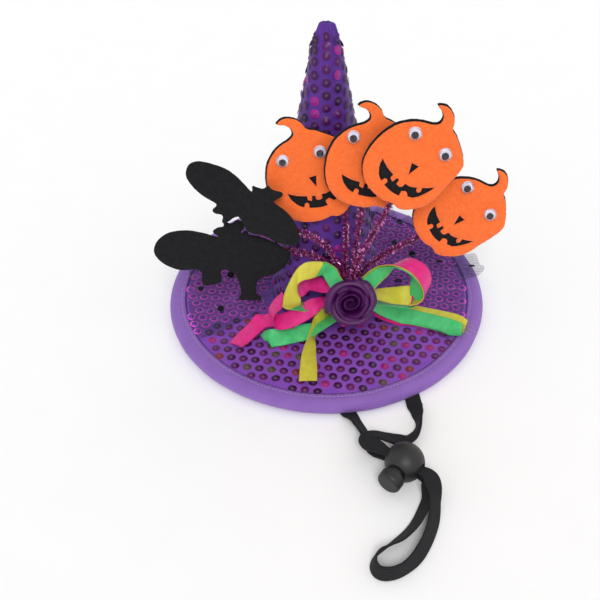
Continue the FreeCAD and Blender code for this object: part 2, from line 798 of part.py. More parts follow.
lock_along = Vector(math.cos(math.radians(cell("LockTurn"))), math.sin(math.radians(cell("LockTurn"))), 0)
lock_press = Vector(0, 0, 1).cross(lock_along) * -1
lock_centre = Vector(cell("LockX"), cell("LockY"), cell("LockRadius"))
lock_place = Placement(lock_centre, Rotation(lock_along, lock_press.cross(lock_along), lock_press, "ZXY"))
strap_area = cell("StrapWidth") * cell("StrapThickness")
strap_tube = math.sqrt(strap_area / math.pi)
mouth_reach = cell("LockRadius") - 0.4
strand_lift = strap_tube + 0.05
strand_shift = cell("PlungerHoleRest") / 2
pinched_width = 2.2           # a strand where the lock squeezes it
pinched_depth = 2.0
pinched_pitch = 2.1           # between the middles of the two strands
anchor_size = 9.0
anchor_back = 3.0             # middle of an anchor behind the strap's end
anchor_gap = 0.5              # the lining sags this far above it
lead_straight = 6.5           # straight run into the lock
loop_straight = 6.0


def mouth(side, lift):
    """Where a strand meets the lock: side -1 faces the hat, +1 the loop."""
    return lock_centre + lock_along * (side * mouth_reach) + lock_press * strand_shift + Vector(0, 0, lift)


def table(points):
    """Route points given as x, y and the height of the tube's underside."""
    return [Vector(x, y, rise + strap_tube) for x, y, rise in points]


flat_ends = {"left": Vector(17.4, -99.0, 0), "right": Vector(46.2, -90.0, 0)}
anchor_places = {"left": Vector(-33, -6, 0), "right": Vector(33, -4, 0)}


def make_flat_run(word):
    """The stretch that lies flat under the brim, from its sewn end to just past the rim."""
    height = Vector(0, 0, cell("StrapThickness") / 2)
    if word == "left":
        points = [anchor_places[word], Vector(-22, -40, 0), Vector(0, -68, 0), flat_ends[word]]
    else:
        points = [anchor_places[word], Vector(36.5, -32, 0), Vector(42.5, -62, 0), flat_ends[word]]
    path, radii = route([point + height for point in points])
    across = Vector(0, 0, 1)
    solid = band(path, across, cell("StrapThickness"), cell("StrapWidth"))
    print("strap_%s_run length %.1f radii %s volume/ideal %.3f"
          % (word, path.Length, [round(r) for r in radii], solid.Volume / (path.Length * strap_area)))
    solid_piece("strap_%s_run" % word, solid)
    return points


def make_anchor(word):
    """The strap's end, folded over itself and sewn up to the lining."""
    run = anchor_places[word]
    half = anchor_size / 2
    top = number_of(low + " + Sizes.BrimRise") - anchor_gap
    block = Part.makeBox(anchor_size, anchor_size, top - cell("StrapThickness"),
                         Vector(run.x - half, run.y - half - anchor_back, cell("StrapThickness")))
    solid_piece("strap_%s_anchor" % word, block)


def make_lead(word, course, lift):
    print("strap_%s_lead" % word)
    start = flat_ends[word] + Vector(0, 0, strap_tube)
    points = [start] + table(course) + [mouth(-1, lift) - lock_along * lead_straight, mouth(-1, lift)]
    solid_piece("strap_%s_lead" % word, tube(points, strap_tube))


def make_strap():
    make_lead("left", [(20.3, -104.2, 0), (21.4, -110.6, 1.6)], -strand_lift)
    make_lead("right", [(47.1, -96.9, 0), (44.4, -104.0, 0.4), (39.2, -109.0, 1.4), (32.8, -110.2, 3.2),
                        (26.2, -107.6, 5.4), (19.8, -106.9, 7.4), (15.9, -111.2, 8.8), (18.0, -116.2, 9.5)],
              strand_lift)
    print("strap_loop")
    points = [mouth(1, strand_lift), mouth(1, strand_lift) + lock_along * loop_straight]
    points += table([(51.2, -140.4, 6.4), (51.4, -148.4, 2.4), (49.8, -156.4, 0), (46.2, -164.6, 0),
                     (40.6, -172.0, 0), (33.2, -178.0, 0), (25.4, -180.6, 0), (19.2, -178.2, 0),
                     (18.6, -172.6, 0), (23.6, -168.6, 0), (30.6, -164.8, 0), (37.0, -159.0, 0),
                     (41.6, -152.0, 0), (45.4, -145.6, 1.0), (49.2, -140.0, 3.4)])
    points += [mouth(1, -strand_lift) + lock_along * loop_straight, mouth(1, -strand_lift)]
    solid_piece("strap_loop", tube(points, strap_tube))
    low = strand_shift - pinched_width / 2
    strands = []
    for side in (-1, 1):
        near = side * pinched_pitch / 2 - pinched_depth / 2
        corner = Vector(-mouth_reach, near, low)
        strands.append(Part.makeBox(2 * mouth_reach, pinched_depth, pinched_width, corner))
    solid_piece("strap_in_lock", Part.makeCompound(strands), lock_place)


def make_lock():
    """A ball with a cord hole, and a sprung plunger whose own hole pinches the cord."""
    radius = cell("LockRadius")
    bore = cell("PlungerRadius") + cell("PlungerClearance")
    shoulder = radius - 1.6
    rest = cell("PlungerHoleRest")
    foot = rest - cell("PlungerHoleRadius") - cell("PlungerFoot")
    floor = foot - cell("ButtonTravel") - cell("SpringRoom")
    ball = Part.makeSphere(radius)
    ball = ball.cut(Part.makeBox(2 * radius, 2 * radius, radius, Vector(-radius, -radius, shoulder)))
    for side in (-1, 1):
        slab = Part.makeBox(radius, 2 * radius, 2 * radius, Vector(-radius / 2, -radius, -radius))
        slab.translate(Vector(side * (mouth_reach + radius / 2), 0, 0))
        ball = ball.cut(slab)
    hole = Part.makeCylinder(cell("LockHoleRadius"), 4 * radius, Vector(-2 * radius, 0, 0), Vector(1, 0, 0))
    well = Part.makeCylinder(bore, 2 * radius, Vector(0, 0, floor))
    solid_piece("lock_body", ball.cut(hole).cut(well), lock_place)
    cap_seat = shoulder + cell("ButtonTravel") + 0.1
    plunger = Part.makeCylinder(cell("PlungerRadius"), cap_seat - foot, Vector(0, 0, foot))
    cap = Part.makeCylinder(cell("ButtonRadius"), cell("ButtonHeight"), Vector(0, 0, cap_seat))
    rim = [edge for edge in cap.Edges if edge.Closed and edge.CenterOfMass.z > cap_seat + 1]
    cap = cap.makeFillet(1.6, rim[:1])
    pinch = Part.makeCylinder(cell("PlungerHoleRadius"), 4 * radius, Vector(-2 * radius, 0, rest),
                              Vector(1, 0, 0))
    solid_piece("lock_button", plunger.fuse(cap).cut(pinch).removeSplitter(), lock_place)
    wire = cell("SpringWire")
    coil_radius = cell("PlungerRadius") - 1.2
    room = foot - floor - 2 * wire - 0.1
    helix = Part.makeHelix(room / cell("SpringTurns"), room, coil_radius)
    ring = Part.Wire(Part.Circle(Vector(coil_radius, 0, 0), Vector(0, 1, 0), wire).toShape())
    coil = helix.makePipeShell([ring], True, True)
    coil.translate(Vector(0, 0, floor + wire + 0.05))
    solid_piece("lock_spring", coil, lock_place)


# ---------------------------------------------------------------- build

make_brim()
make_crown()
make_tulle()
for stem in stems:
    make_stem(stem)
for number in charms:
    make_charm(number)
for bat in bats:
    make_bat(bat)
make_holder()
make_knot()
for ribbon in ribbons:
    make_ribbon(ribbon)
make_rose()
runs = [make_flat_run(word)[-2:] for word in ("left", "right")]
make_binding(make_reliefs(runs))
for word in ("left", "right"):
    make_anchor(word)
make_strap()
make_lock()

doc.recompute()
faults = [item.Name for item in doc.Objects if "Invalid" in item.State or "Error" in item.State]
for piece in pieces:
    if piece.Shape.isNull() or not piece.Shape.isValid() or not piece.Shape.Solids:
        faults.append(piece.Label)
if faults:
    raise RuntimeError("failed: " + ", ".join(faults))

os.makedirs("parts", exist_ok=True)
for piece in pieces:
    piece.Shape.exportStep("parts/%s.step" % piece.Label)
    print("%-22s solids %d volume %.1f" % (piece.Label, len(piece.Shape.Solids), piece.Shape.Volume))
print(len(pieces), "pieces")
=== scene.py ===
import json
import random
from math import atan2, cos, hypot, pi, radians, sin, sqrt
import bmesh
import bpy
from mathutils import Matrix, Vector, noise
from mathutils.geometry import delaunay_2d_cdt

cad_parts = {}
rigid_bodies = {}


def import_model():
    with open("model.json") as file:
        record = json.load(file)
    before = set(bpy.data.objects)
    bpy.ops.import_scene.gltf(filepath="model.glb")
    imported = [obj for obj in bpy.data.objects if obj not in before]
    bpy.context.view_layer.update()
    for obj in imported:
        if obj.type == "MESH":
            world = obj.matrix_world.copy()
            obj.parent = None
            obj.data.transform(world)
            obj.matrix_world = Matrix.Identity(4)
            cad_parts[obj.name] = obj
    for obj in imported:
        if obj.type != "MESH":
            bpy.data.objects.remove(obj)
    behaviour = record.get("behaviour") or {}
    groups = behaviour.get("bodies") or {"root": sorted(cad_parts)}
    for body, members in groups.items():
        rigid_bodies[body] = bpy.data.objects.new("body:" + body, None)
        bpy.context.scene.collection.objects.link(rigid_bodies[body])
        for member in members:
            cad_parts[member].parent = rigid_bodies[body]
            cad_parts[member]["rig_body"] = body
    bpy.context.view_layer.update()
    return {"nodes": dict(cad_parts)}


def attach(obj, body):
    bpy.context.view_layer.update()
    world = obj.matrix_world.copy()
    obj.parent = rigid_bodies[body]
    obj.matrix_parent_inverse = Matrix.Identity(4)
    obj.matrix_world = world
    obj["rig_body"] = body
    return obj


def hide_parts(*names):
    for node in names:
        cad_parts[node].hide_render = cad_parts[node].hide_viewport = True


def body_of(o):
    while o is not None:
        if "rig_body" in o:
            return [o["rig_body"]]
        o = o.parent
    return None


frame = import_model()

mm = 0.001  # metres
white = (1, 1, 1, 1)
chance = random.Random(31)  # every loose draw below, in this order


# small helpers

def tint(red, green, blue):
    # a screen colour, 0 to 255, as the linear values that shaders take
    parts = [c / 255 for c in (red, green, blue)]
    return tuple(c / 12.92 if c < 0.0405 else ((c + 0.055) / 1.055) ** 2.4 for c in parts) + (1.0,)


def soft(low, high, x):
    t = min(1.0, max(0.0, (x - low) / (high - low)))
    return t * t * (3 - 2 * t)


def between(a, b, t):
    return a + (b - a) * t


def passing(points, steps, closed=False):
    # a smooth line through the points, Catmull-Rom
    points = [Vector(p) for p in points]
    count = len(points)
    line = []
    for i in range(count if closed else count - 1):
        if closed:
            a, b, c, d = (points[(i + k) % count] for k in (-1, 0, 1, 2))
        else:
            a, b, c, d = points[max(i - 1, 0)], points[i], points[i + 1], points[min(i + 2, count - 1)]
        for s in range(steps):
            t = s / steps
            line.append(0.5 * ((2 * b) + (c - a) * t + (2 * a - 5 * b + 4 * c - d) * t ** 2
                               + (3 * b - a - 3 * c + d) * t ** 3))
    if not closed:
        line.append(points[-1])
    return line


def smoothed(mesh):
    mesh.polygons.foreach_set("use_smooth", [True] * len(mesh.polygons))
    return mesh


def addPiece(name, mesh, body, slot, finish=None, stands=()):
    piece = bpy.data.objects.new(name, mesh)
    bpy.context.scene.collection.objects.link(piece)
    if finish is not None:
        mesh.materials.clear()
        mesh.materials.append(finish)
    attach(piece, body)
    if stands:
        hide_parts(*stands)
    return piece


def meshFrom(name, points, faces, uvs=None, smooth=True, outward=True):
    # points in millimetres
    mesh = bpy.data.meshes.new(name)
    mesh.from_pydata([tuple(Vector(p) * mm) for p in points], [], faces)
    if uvs is not None:
        layer = mesh.uv_layers.new(name="weave")
        for loop in mesh.loops:
            layer.data[loop.index].uv = uvs[loop.vertex_index]
    if outward:
        work = bmesh.new()
        work.from_mesh(mesh)
        bmesh.ops.recalc_face_normals(work, faces=work.faces)
        work.to_mesh(mesh)
        work.free()
    mesh.polygons.foreach_set("use_smooth", [smooth] * len(mesh.polygons))
    mesh.update()
    return mesh


def slab(front, back, uvOf=None):
    # two grids of points, front and back, closed along their rims
    rows, columns = len(front), len(front[0])
    points = [p for row in front for p in row] + [p for row in back for p in row]
    shift = rows * columns
    faces = []
    for i in range(rows - 1):
        for j in range(columns - 1):
            a, b = i * columns + j, (i + 1) * columns + j
            c, d = b + 1, a + 1
            faces.append((a, b, c, d))
            faces.append((shift + d, shift + c, shift + b, shift + a))
        for j in (0, columns - 1):
            a, b = i * columns + j, (i + 1) * columns + j
            faces.append((a, shift + a, shift + b, b) if j == 0 else (b, shift + b, shift + a, a))
    for i in (0, rows - 1):
        for j in range(columns - 1):
            a, b = i * columns + j, i * columns + j + 1
            faces.append((b, shift + b, shift + a, a) if i == 0 else (a, shift + a, shift + b, b))
    uvs = None
    if uvOf is not None:
        uvs = [uvOf(i, j) for i in range(rows) for j in range(columns)] * 2
    return points, faces, uvs


def hoopFaces(segments, count):
    # closed outlines of count points, joined in turn all the way round
    faces = []
    for i in range(segments):
        k = (i + 1) % segments
        for j in range(count):
            n = (j + 1) % count
            faces.append((i * count + j, k * count + j, k * count + n, i * count + n))
    return faces


def tubeFaces(last, around):
    # rings of points joined in turn, from ring 0 to ring last, with both ends closed
    faces = []
    for i in range(last):
        for j in range(around):
            k = (j + 1) % around
            faces.append((i * around + j, i * around + k, (i + 1) * around + k, (i + 1) * around + j))
    return faces + [tuple(range(around)), tuple(last * around + j for j in reversed(range(around)))]


def hoop(section, segments, warp):
    # a closed outline of (radius, height) taken all the way round the Z axis
    points = []
    for i in range(segments):
        angle = 2 * pi * i / segments
        for radius, height in section:
            points.append(warp(Vector((radius * cos(angle), radius * sin(angle), height))))
    return points, hoopFaces(segments, len(section))


polish = {"weld": 2e-6, "flat": 0.5, "sharp": 35, "bevelled": 40}  # metres, then degrees


def polished(node, name, slot, finish, bevel=0.0):
    # the same shape as the CAD node, welded and smooth
    body = body_of(frame["nodes"][node])[0]
    mesh = frame["nodes"][node].data.copy()
    mesh.name = name
    work = bmesh.new()
    work.from_mesh(mesh)
    bmesh.ops.remove_doubles(work, verts=work.verts, dist=polish["weld"])
    bmesh.ops.dissolve_limit(work, angle_limit=radians(polish["flat"]), verts=work.verts, edges=work.edges)
    bmesh.ops.recalc_face_normals(work, faces=work.faces)
    work.to_mesh(mesh)
    work.free()
    smoothed(mesh)
    mesh.set_sharp_from_angle(angle=radians(polish["sharp"]))
    piece = addPiece(name, mesh, body, slot, finish, (node,))
    if bevel:
        edge = piece.modifiers.new("edges", "BEVEL")
        edge.width = bevel * mm
        edge.segments = 2
        edge.limit_method = "ANGLE"
        edge.angle_limit = radians(polish["bevelled"])
    return piece


def courseOf(points):
    # points read along the NURBS spline that has these control points, all in metres
    curve = bpy.data.curves.new("course", "CURVE")
    curve.dimensions = "3D"
    spline = curve.splines.new("NURBS")
    spline.points.add(len(points) - 1)
    for place, point in zip(spline.points, points):
        place.co = (*point, 1.0)
    spline.order_u = 3
    spline.use_endpoint_u = True
    curve.resolution_u = 14
    helper = bpy.data.objects.new("course", curve)
    bpy.context.scene.collection.objects.link(helper)
    flat = bpy.data.meshes.new_from_object(helper.evaluated_get(bpy.context.evaluated_depsgraph_get()))
    line = [v.co.copy() for v in flat.vertices]
    bpy.data.objects.remove(helper)
    bpy.data.meshes.remove(flat)
    return line


# shader and node-tree helpers

class Value:
    # one output of a material's tree, used like a number
    def __init__(self, finish, socket):
        self.finish = finish
        self.socket = socket

    def sum(self, operation, first, second):
        return self.finish.node("ShaderNodeMath", {"operation": operation}, {0: first, 1: second})

    def __add__(self, other):
        return self.sum("ADD", self, other)

    def __radd__(self, other):
        return self.sum("ADD", other, self)

    def __mul__(self, other):
        return self.sum("MULTIPLY", self, other)

    def __gt__(self, other):
        return self.sum("GREATER_THAN", self, other)

    def __lt__(self, other):
        return self.sum("LESS_THAN", self, other)


class Finish:
    # a material; node() adds any node: its type, its settings first, then its sockets
    def __init__(self, name):
        self.material = bpy.data.materials.new(name)
        self.material.use_nodes = True
        self.tree = self.material.node_tree
        self.tree.nodes.clear()
        self.place = self.node("ShaderNodeTexCoord", output="Object")

    def node(self, kind, settings=None, values=None, output=0):
        made = self.tree.nodes.new(kind)
        for key, value in (settings or {}).items():
            setattr(made, key, value)
        for key, value in (values or {}).items():
            if isinstance(value, Value):
                self.tree.links.new(value.socket, made.inputs[key])
            else:
                made.inputs[key].default_value = value
        return Value(self, made.outputs[output])

    def mix(self, share, first, second):
        return self.node("ShaderNodeMix", {"data_type": "RGBA"}, {0: share, 6: first, 7: second}, 2)

    def grain(self, scale, detail=2.0, stretch=None):
        place = self.place
        if stretch:
            place = self.node("ShaderNodeMapping", None, {"Vector": place, "Scale": stretch})
        return self.node("ShaderNodeTexNoise", None,
                         {"Vector": place, "Scale": scale, "Detail": detail, "Roughness": 0.55})

    def ribs(self, scale):
        return self.node("ShaderNodeTexWave", {"wave_type": "BANDS", "bands_direction": "DIAGONAL"},
                         {"Vector": self.place, "Scale": scale, "Distortion": 1.5,
                          "Detail": 1.0, "Detail Scale": 2.0}, 1)

    def shift(self, value, low, high, start=0.0, end=1.0):
        return self.node("ShaderNodeMapRange", {"clamp": True},
                         {0: value, 1: low, 2: high, 3: start, 4: end})

    def attribute(self, name):
        return self.node("ShaderNodeAttribute", {"attribute_name": name}, None, "Fac")

    def across(self, part):
        flat = self.node("ShaderNodeTexCoord", output="UV")
        return self.node("ShaderNodeSeparateXYZ", None, {0: flat}, part)

    def surface(self, colour, roughness, height=None, depth=0.2, **fixed):
        values = {"Base Color": colour, "Roughness": roughness}
        values.update({key.replace("_", " "): value for key, value in fixed.items()})
        if height is not None:
            values["Normal"] = self.node("ShaderNodeBump", None,
                                         {"Strength": 1.0, "Distance": depth * mm, "Height": height})
        shader = self.node("ShaderNodeBsdfPrincipled", None, values)
        target = self.tree.nodes.new("ShaderNodeOutputMaterial")
        self.tree.links.new(shader.socket, target.inputs["Surface"])
        return self.material


class Scatter:
    # a Geometry Nodes tree with named inputs
    def __init__(self, name, inputs):
        self.tree = bpy.data.node_groups.new(name, "GeometryNodeTree")
        self.tree.interface.new_socket("Geometry", in_out="INPUT", socket_type="NodeSocketGeometry")
        for label, kind in inputs:
            self.tree.interface.new_socket(label, in_out="INPUT", socket_type=kind)
        self.tree.interface.new_socket("Geometry", in_out="OUTPUT", socket_type="NodeSocketGeometry")
        self.start = self.tree.nodes.new("NodeGroupInput")
        self.end = self.tree.nodes.new("NodeGroupOutput")

    def given(self, label):
        return self.start.outputs[label]

    def node(self, kind, settings=None, values=None, output=0):
        made = self.tree.nodes.new(kind)
        for key, value in (settings or {}).items():
            setattr(made, key, value)
        for key, value in (values or {}).items():
            if isinstance(value, bpy.types.NodeSocket):
                self.tree.links.new(value, made.inputs[key])
            else:
                made.inputs[key].default_value = value
        return made.outputs[output]

    def finishWith(self, geometry, material):
        whole = self.node("GeometryNodeRealizeInstances", None, {"Geometry": geometry})
        dressed = self.node("GeometryNodeSetMaterial", None, {"Geometry": whole, "Material": material})
        self.tree.links.new(dressed, self.end.inputs[0])

    def grow(self, name, mesh, values):
        # runs the tree on a mesh and gives back the plain result
        helper = bpy.data.objects.new(name + "Seedbed", mesh)
        bpy.context.scene.collection.objects.link(helper)
        tool = helper.modifiers.new("grow", "NODES")
        tool.node_group = self.tree
        for item in self.tree.interface.items_tree:
            if item.item_type == "SOCKET" and item.in_out == "INPUT" and item.name in values:
                tool[item.identifier] = values[item.name]
        helper.update_tag()
        result = bpy.data.meshes.new_from_object(
            helper.evaluated_get(bpy.context.evaluated_depsgraph_get()))
        result.name = name
        bpy.data.objects.remove(helper)
        return result


# camera, light and floor

view = {"lift": 42.0, "distance": 0.5, "lens": 51.3, "across": -0.044, "up": -0.0033}
camera = bpy.data.objects.new("camera", bpy.data.cameras.new("camera"))
bpy.context.scene.collection.objects.link(camera)
camera.location = view["distance"] * Vector((0, -cos(radians(view["lift"])), sin(radians(view["lift"]))))
camera.rotation_euler = (radians(90 - view["lift"]), 0, 0)
camera.data.lens = view["lens"]
camera.data.shift_x = view["across"]
camera.data.shift_y = view["up"]
camera.data.clip_start = 0.01
bpy.context.scene.camera = camera
bpy.context.scene.view_settings.view_transform = "Standard"

daylight = {"sky": 0.7, "lamp": 1.35, "softness": 22.0, "turn": (38, -14, 20)}
world = bpy.data.worlds.new("studio")
world.use_nodes = True
bpy.context.scene.world = world
sky = world.node_tree.nodes["Background"]
sky.inputs["Color"].default_value = white
sky.inputs["Strength"].default_value = daylight["sky"]
plain = world.node_tree.nodes.new("ShaderNodeBackground")
plain.inputs["Color"].default_value = white
plain.inputs["Strength"].default_value = 1.0
seen = world.node_tree.nodes.new("ShaderNodeLightPath")
either = world.node_tree.nodes.new("ShaderNodeMixShader")
shown = seen.outputs["Is Camera Ray"]
for ray in ("Is Glossy Ray", "Is Transmission Ray"):
    more = world.node_tree.nodes.new("ShaderNodeMath")
    more.operation = "MAXIMUM"
    world.node_tree.links.new(shown, more.inputs[0])
    world.node_tree.links.new(seen.outputs[ray], more.inputs[1])
    shown = more.outputs[0]
world.node_tree.links.new(shown, either.inputs["Fac"])
world.node_tree.links.new(sky.outputs["Background"], either.inputs[1])
world.node_tree.links.new(plain.outputs["Background"], either.inputs[2])
world.node_tree.links.new(either.outputs["Shader"],
                          world.node_tree.nodes["World Output"].inputs["Surface"])
lamp = bpy.data.objects.new("lamp", bpy.data.lights.new("lamp", "SUN"))
lamp.data.energy = daylight["lamp"]
lamp.data.angle = radians(daylight["softness"])
lamp.rotation_euler = [radians(a) for a in daylight["turn"]]
bpy.context.scene.collection.objects.link(lamp)

paper = Finish("paper")
floorSize = {"half": 4, "height": -0.0003}  # metres
floorMesh = bpy.data.meshes.new("floor")
floorMesh.from_pydata([(x * floorSize["half"], y * floorSize["half"], floorSize["height"])
                       for x, y in ((-1, -1), (1, -1), (1, 1), (-1, 1))], [], [(0, 1, 2, 3)])
floorMesh.materials.append(paper.surface(
    paper.mix(paper.grain(40), tint(250, 250, 250), tint(253, 253, 253)), 0.85))
floor = bpy.data.objects.new("floor", floorMesh)
bpy.context.scene.collection.objects.link(floor)
print("camera, light and floor are set")


# finishes

def knitted(name, light, dark, ribsPerMetre=1300, depth=0.12, edge=0.0):
    # edge: the radius beyond which the cloth lies in the shade of its binding
    cloth = Finish(name)
    loops = cloth.ribs(ribsPerMetre)
    patches = cloth.grain(90, 3)
    colour = cloth.mix(patches, dark, light)
    colour = cloth.mix(loops * 0.3, colour, dark)
    if edge:
        flat = cloth.node("ShaderNodeVectorMath", {"operation": "MULTIPLY"}, {0: cloth.place, 1: (1, 1, 0)})
        reach = cloth.node("ShaderNodeVectorMath", {"operation": "LENGTH"}, {0: flat}, 1)
        colour = cloth.mix(cloth.shift(reach, (edge - 0.5) * mm, edge * mm, 0.0, 0.75), colour,
                           tint(58, 26, 96))
    return cloth.surface(colour, 0.5 + loops * 0.15, loops + cloth.grain(700) * 0.6, depth,
                         Sheen_Weight=0.12, Sheen_Roughness=0.4, Specular_IOR_Level=0.3)


def felt(name, light, dark, bloom=0.2):
    cloth = Finish(name)
    fibres = cloth.grain(1500, 4, (1.0, 0.5, 1.0))
    tufts = cloth.grain(420, 3)
    colour = cloth.mix(cloth.shift(fibres + tufts * 0.6, 0.5, 1.1), dark, light)
    return cloth.surface(colour, 0.92, fibres + tufts, 0.3, Sheen_Weight=bloom, Sheen_Roughness=0.6,
                         Specular_IOR_Level=0.2)


def satin(name, light, dark, paintedSheenTint):
    # uv: x across the ribbon from 0 to 1, y along it in millimetres; the last colour is a painted sheen
    cloth = Finish(name)
    across = cloth.across("X")
    along = cloth.across("Y")
    weft = cloth.node("ShaderNodeMath", {"operation": "SINE"}, {0: along * 16.0})
    slub = cloth.grain(260, 3, (1.0, 1.0, 0.3))
    edge = (across < 0.045) + (across > 0.955)
    colour = cloth.mix(cloth.shift(slub, 0.2, 0.9), dark, light)
    colour = cloth.mix(edge * 0.45, colour, dark)
    # painted sheen: as the ribbon turns away from the camera, its colour is mixed towards the paler sheen tint
    paintedSheenShare = cloth.node("ShaderNodeLayerWeight", None, {"Blend": 0.3}, "Facing")
    colour = cloth.mix(paintedSheenShare * 0.12, colour, paintedSheenTint)
    return cloth.surface(colour, 0.32 + slub * 0.12, weft * 0.35 + slub * 0.4 + edge * 0.8, 0.08,
                         Specular_IOR_Level=0.35)


def plastic(name, colour, dark, roughness, depth=0.05):
    shell = Finish(name)
    pits = shell.grain(1800, 3)
    wear = shell.grain(110, 3)
    return shell.surface(shell.mix(shell.shift(wear, 0.4, 0.7), dark, colour),
                         roughness + pits * 0.12, pits, depth)


# which tones turn magenta, copper and bronze, and how far out the sewing thread reaches
sequinTones = {"hot": 0.62, "copper": 0.8, "bronze": 0.9, "thread": 0.17}


def sequinFilm(name, deep, bright, rimTint, hot):
    # radial runs from the thread at the middle to the rim, tone picks the colour
    film = Finish(name)
    radial = film.attribute("radial")
    tone = film.attribute("tone")
    veil = film.attribute("veil")
    plum = film.mix(tone * 1.6, deep, bright)
    plum = film.mix(tone > sequinTones["hot"], plum, hot)
    plum = film.mix(tone > sequinTones["copper"], plum, tint(122, 44, 50))
    plum = film.mix(tone > sequinTones["bronze"], plum, tint(84, 66, 52))
    middle = film.shift(radial, 0.2, 0.55)
    body = film.mix(middle, film.mix(0.25, plum, rimTint), plum)
    body = film.mix(film.shift(radial, 0.9, 0.98), body, rimTint)
    # painted reflection: sequins under the net get a bright pink outer ring fading to violet, standing for the
    # light their cups reflect
    ring = film.mix(film.shift(radial, 0.5, 0.76), tint(98, 50, 176), tint(246, 92, 216))
    body = film.mix(veil * 0.9, body, ring)
    thread = radial < sequinTones["thread"]
    body = film.mix(thread, body, tint(112, 106, 98))
    shine = film.grain(500, 2)
    return film.surface(body, 0.22 + shine * 0.25 + thread * 0.4, shine, 0.06,
                        Metallic=0.1, Specular_IOR_Level=0.25)


brimGround = knitted("brimGround", tint(154, 84, 206), tint(122, 58, 180), edge=80.4)
coneGround = knitted("coneGround", tint(108, 52, 166), tint(76, 34, 134))
brimSequinFilm = sequinFilm("brimSequinFilm", tint(46, 14, 50), tint(106, 26, 96), tint(150, 82, 190),
                            tint(160, 30, 112))
coneSequinFilm = sequinFilm("coneSequinFilm", tint(34, 14, 44), tint(92, 22, 96), tint(106, 54, 158),
                            tint(156, 30, 130))
bindingSatin = knitted("bindingSatin", tint(154, 112, 196), tint(134, 92, 178), 2200, 0.05)
liningCloth = knitted("liningCloth", tint(88, 54, 128), tint(70, 40, 108), 1700)
bandCloth = knitted("bandCloth", tint(140, 100, 186), tint(112, 74, 160), 900)
threadLilac = knitted("threadLilac", tint(206, 176, 232), tint(178, 142, 212), 3000, 0.04)
foamGrey = felt("foamGrey", tint(196, 194, 200), tint(160, 158, 166))
buckram = felt("buckram", tint(228, 226, 230), tint(196, 192, 204))
orangeFelt = felt("orangeFelt", tint(255, 122, 50), tint(240, 98, 34))
blackFelt = felt("blackFelt", tint(31, 30, 33), tint(10, 10, 12), 0.03)
flocking = felt("flocking", tint(20, 16, 26), tint(6, 5, 9), 0.03)
yellowSatin = satin("yellowSatin", tint(222, 214, 74), tint(196, 182, 48), tint(244, 242, 160))
pinkSatin = satin("pinkSatin", tint(238, 44, 146), tint(206, 22, 110), tint(255, 110, 190))
greenSatin = satin("greenSatin", tint(84, 212, 128), tint(50, 172, 96), tint(190, 246, 200))
roseSatin = satin("roseSatin", tint(84, 12, 92), tint(56, 5, 64), tint(112, 40, 132))
roseCore = felt("roseCore", tint(78, 14, 84), tint(44, 4, 50), 0.02)
lockPlastic = plastic("lockPlastic", tint(26, 26, 28), tint(16, 16, 18), 0.42)
pupilPlastic = plastic("pupilPlastic", tint(40, 38, 46), tint(26, 24, 32), 0.3)
eyeCard = plastic("eyeCard", tint(250, 249, 252), tint(238, 234, 246), 0.5)

steel = Finish("springSteel")
steelGrain = steel.grain(900, 2)
springSteel = steel.surface(steel.mix(steelGrain, tint(176, 178, 182), tint(208, 208, 212)),
                            0.25 + steelGrain * 0.15, Metallic=1.0)

clear = Finish("eyeWindow")
eyeWindow = clear.surface(clear.mix(clear.grain(300), tint(246, 242, 252), tint(255, 255, 255)), 0.06,
                          Transmission_Weight=1.0, IOR=1.25)

foil = Finish("tinselFoil")
foilTone = foil.attribute("tone")
foilColourWithGlints = foil.mix(foilTone, tint(62, 5, 54), tint(198, 26, 138))
# painted glints: strips whose tone is above 0.84 turn pale pink, standing for light flashing off the foil
foilColourWithGlints = foil.mix(foilTone > 0.84, foilColourWithGlints, tint(255, 168, 236))
tinselFoil = foil.surface(foilColourWithGlints, 0.22 + foil.grain(800) * 0.2, Metallic=0.35, Coat_Weight=0.3)

net = Finish("tulleNet")
threads = net.node("ShaderNodeTexVoronoi", {"feature": "DISTANCE_TO_EDGE"},
                   {"Vector": net.place, "Scale": 1100.0, "Randomness": 0.2})
cloudy = net.grain(60, 3)
netAlpha = net.shift(threads, 0.05, 0.2, 0.24, 0.11) + cloudy * 0.05
tulleNet = net.surface(net.mix(cloudy, tint(24, 12, 62), tint(44, 26, 96)), 0.6, Alpha=netAlpha,
                       Sheen_Weight=0.2)

woven = Finish("elasticWeave")
wovenAcross = woven.across("X")
wovenAlong = woven.across("Y")
ribsAlong = woven.node("ShaderNodeMath", {"operation": "SINE"}, {0: wovenAcross * 56.0})
picks = woven.node("ShaderNodeMath", {"operation": "SINE"}, {0: wovenAlong * 9.0})
weaveHeight = ribsAlong * 0.5 + picks * 0.35
elasticWeave = woven.surface(
    woven.mix(woven.shift(weaveHeight + woven.grain(600) * 0.7, -0.4, 1.2), tint(8, 8, 10),
              tint(36, 35, 39)),
    0.8, weaveHeight, 0.16, Specular_IOR_Level=0.3)
print("finishes are ready")


# chin strap

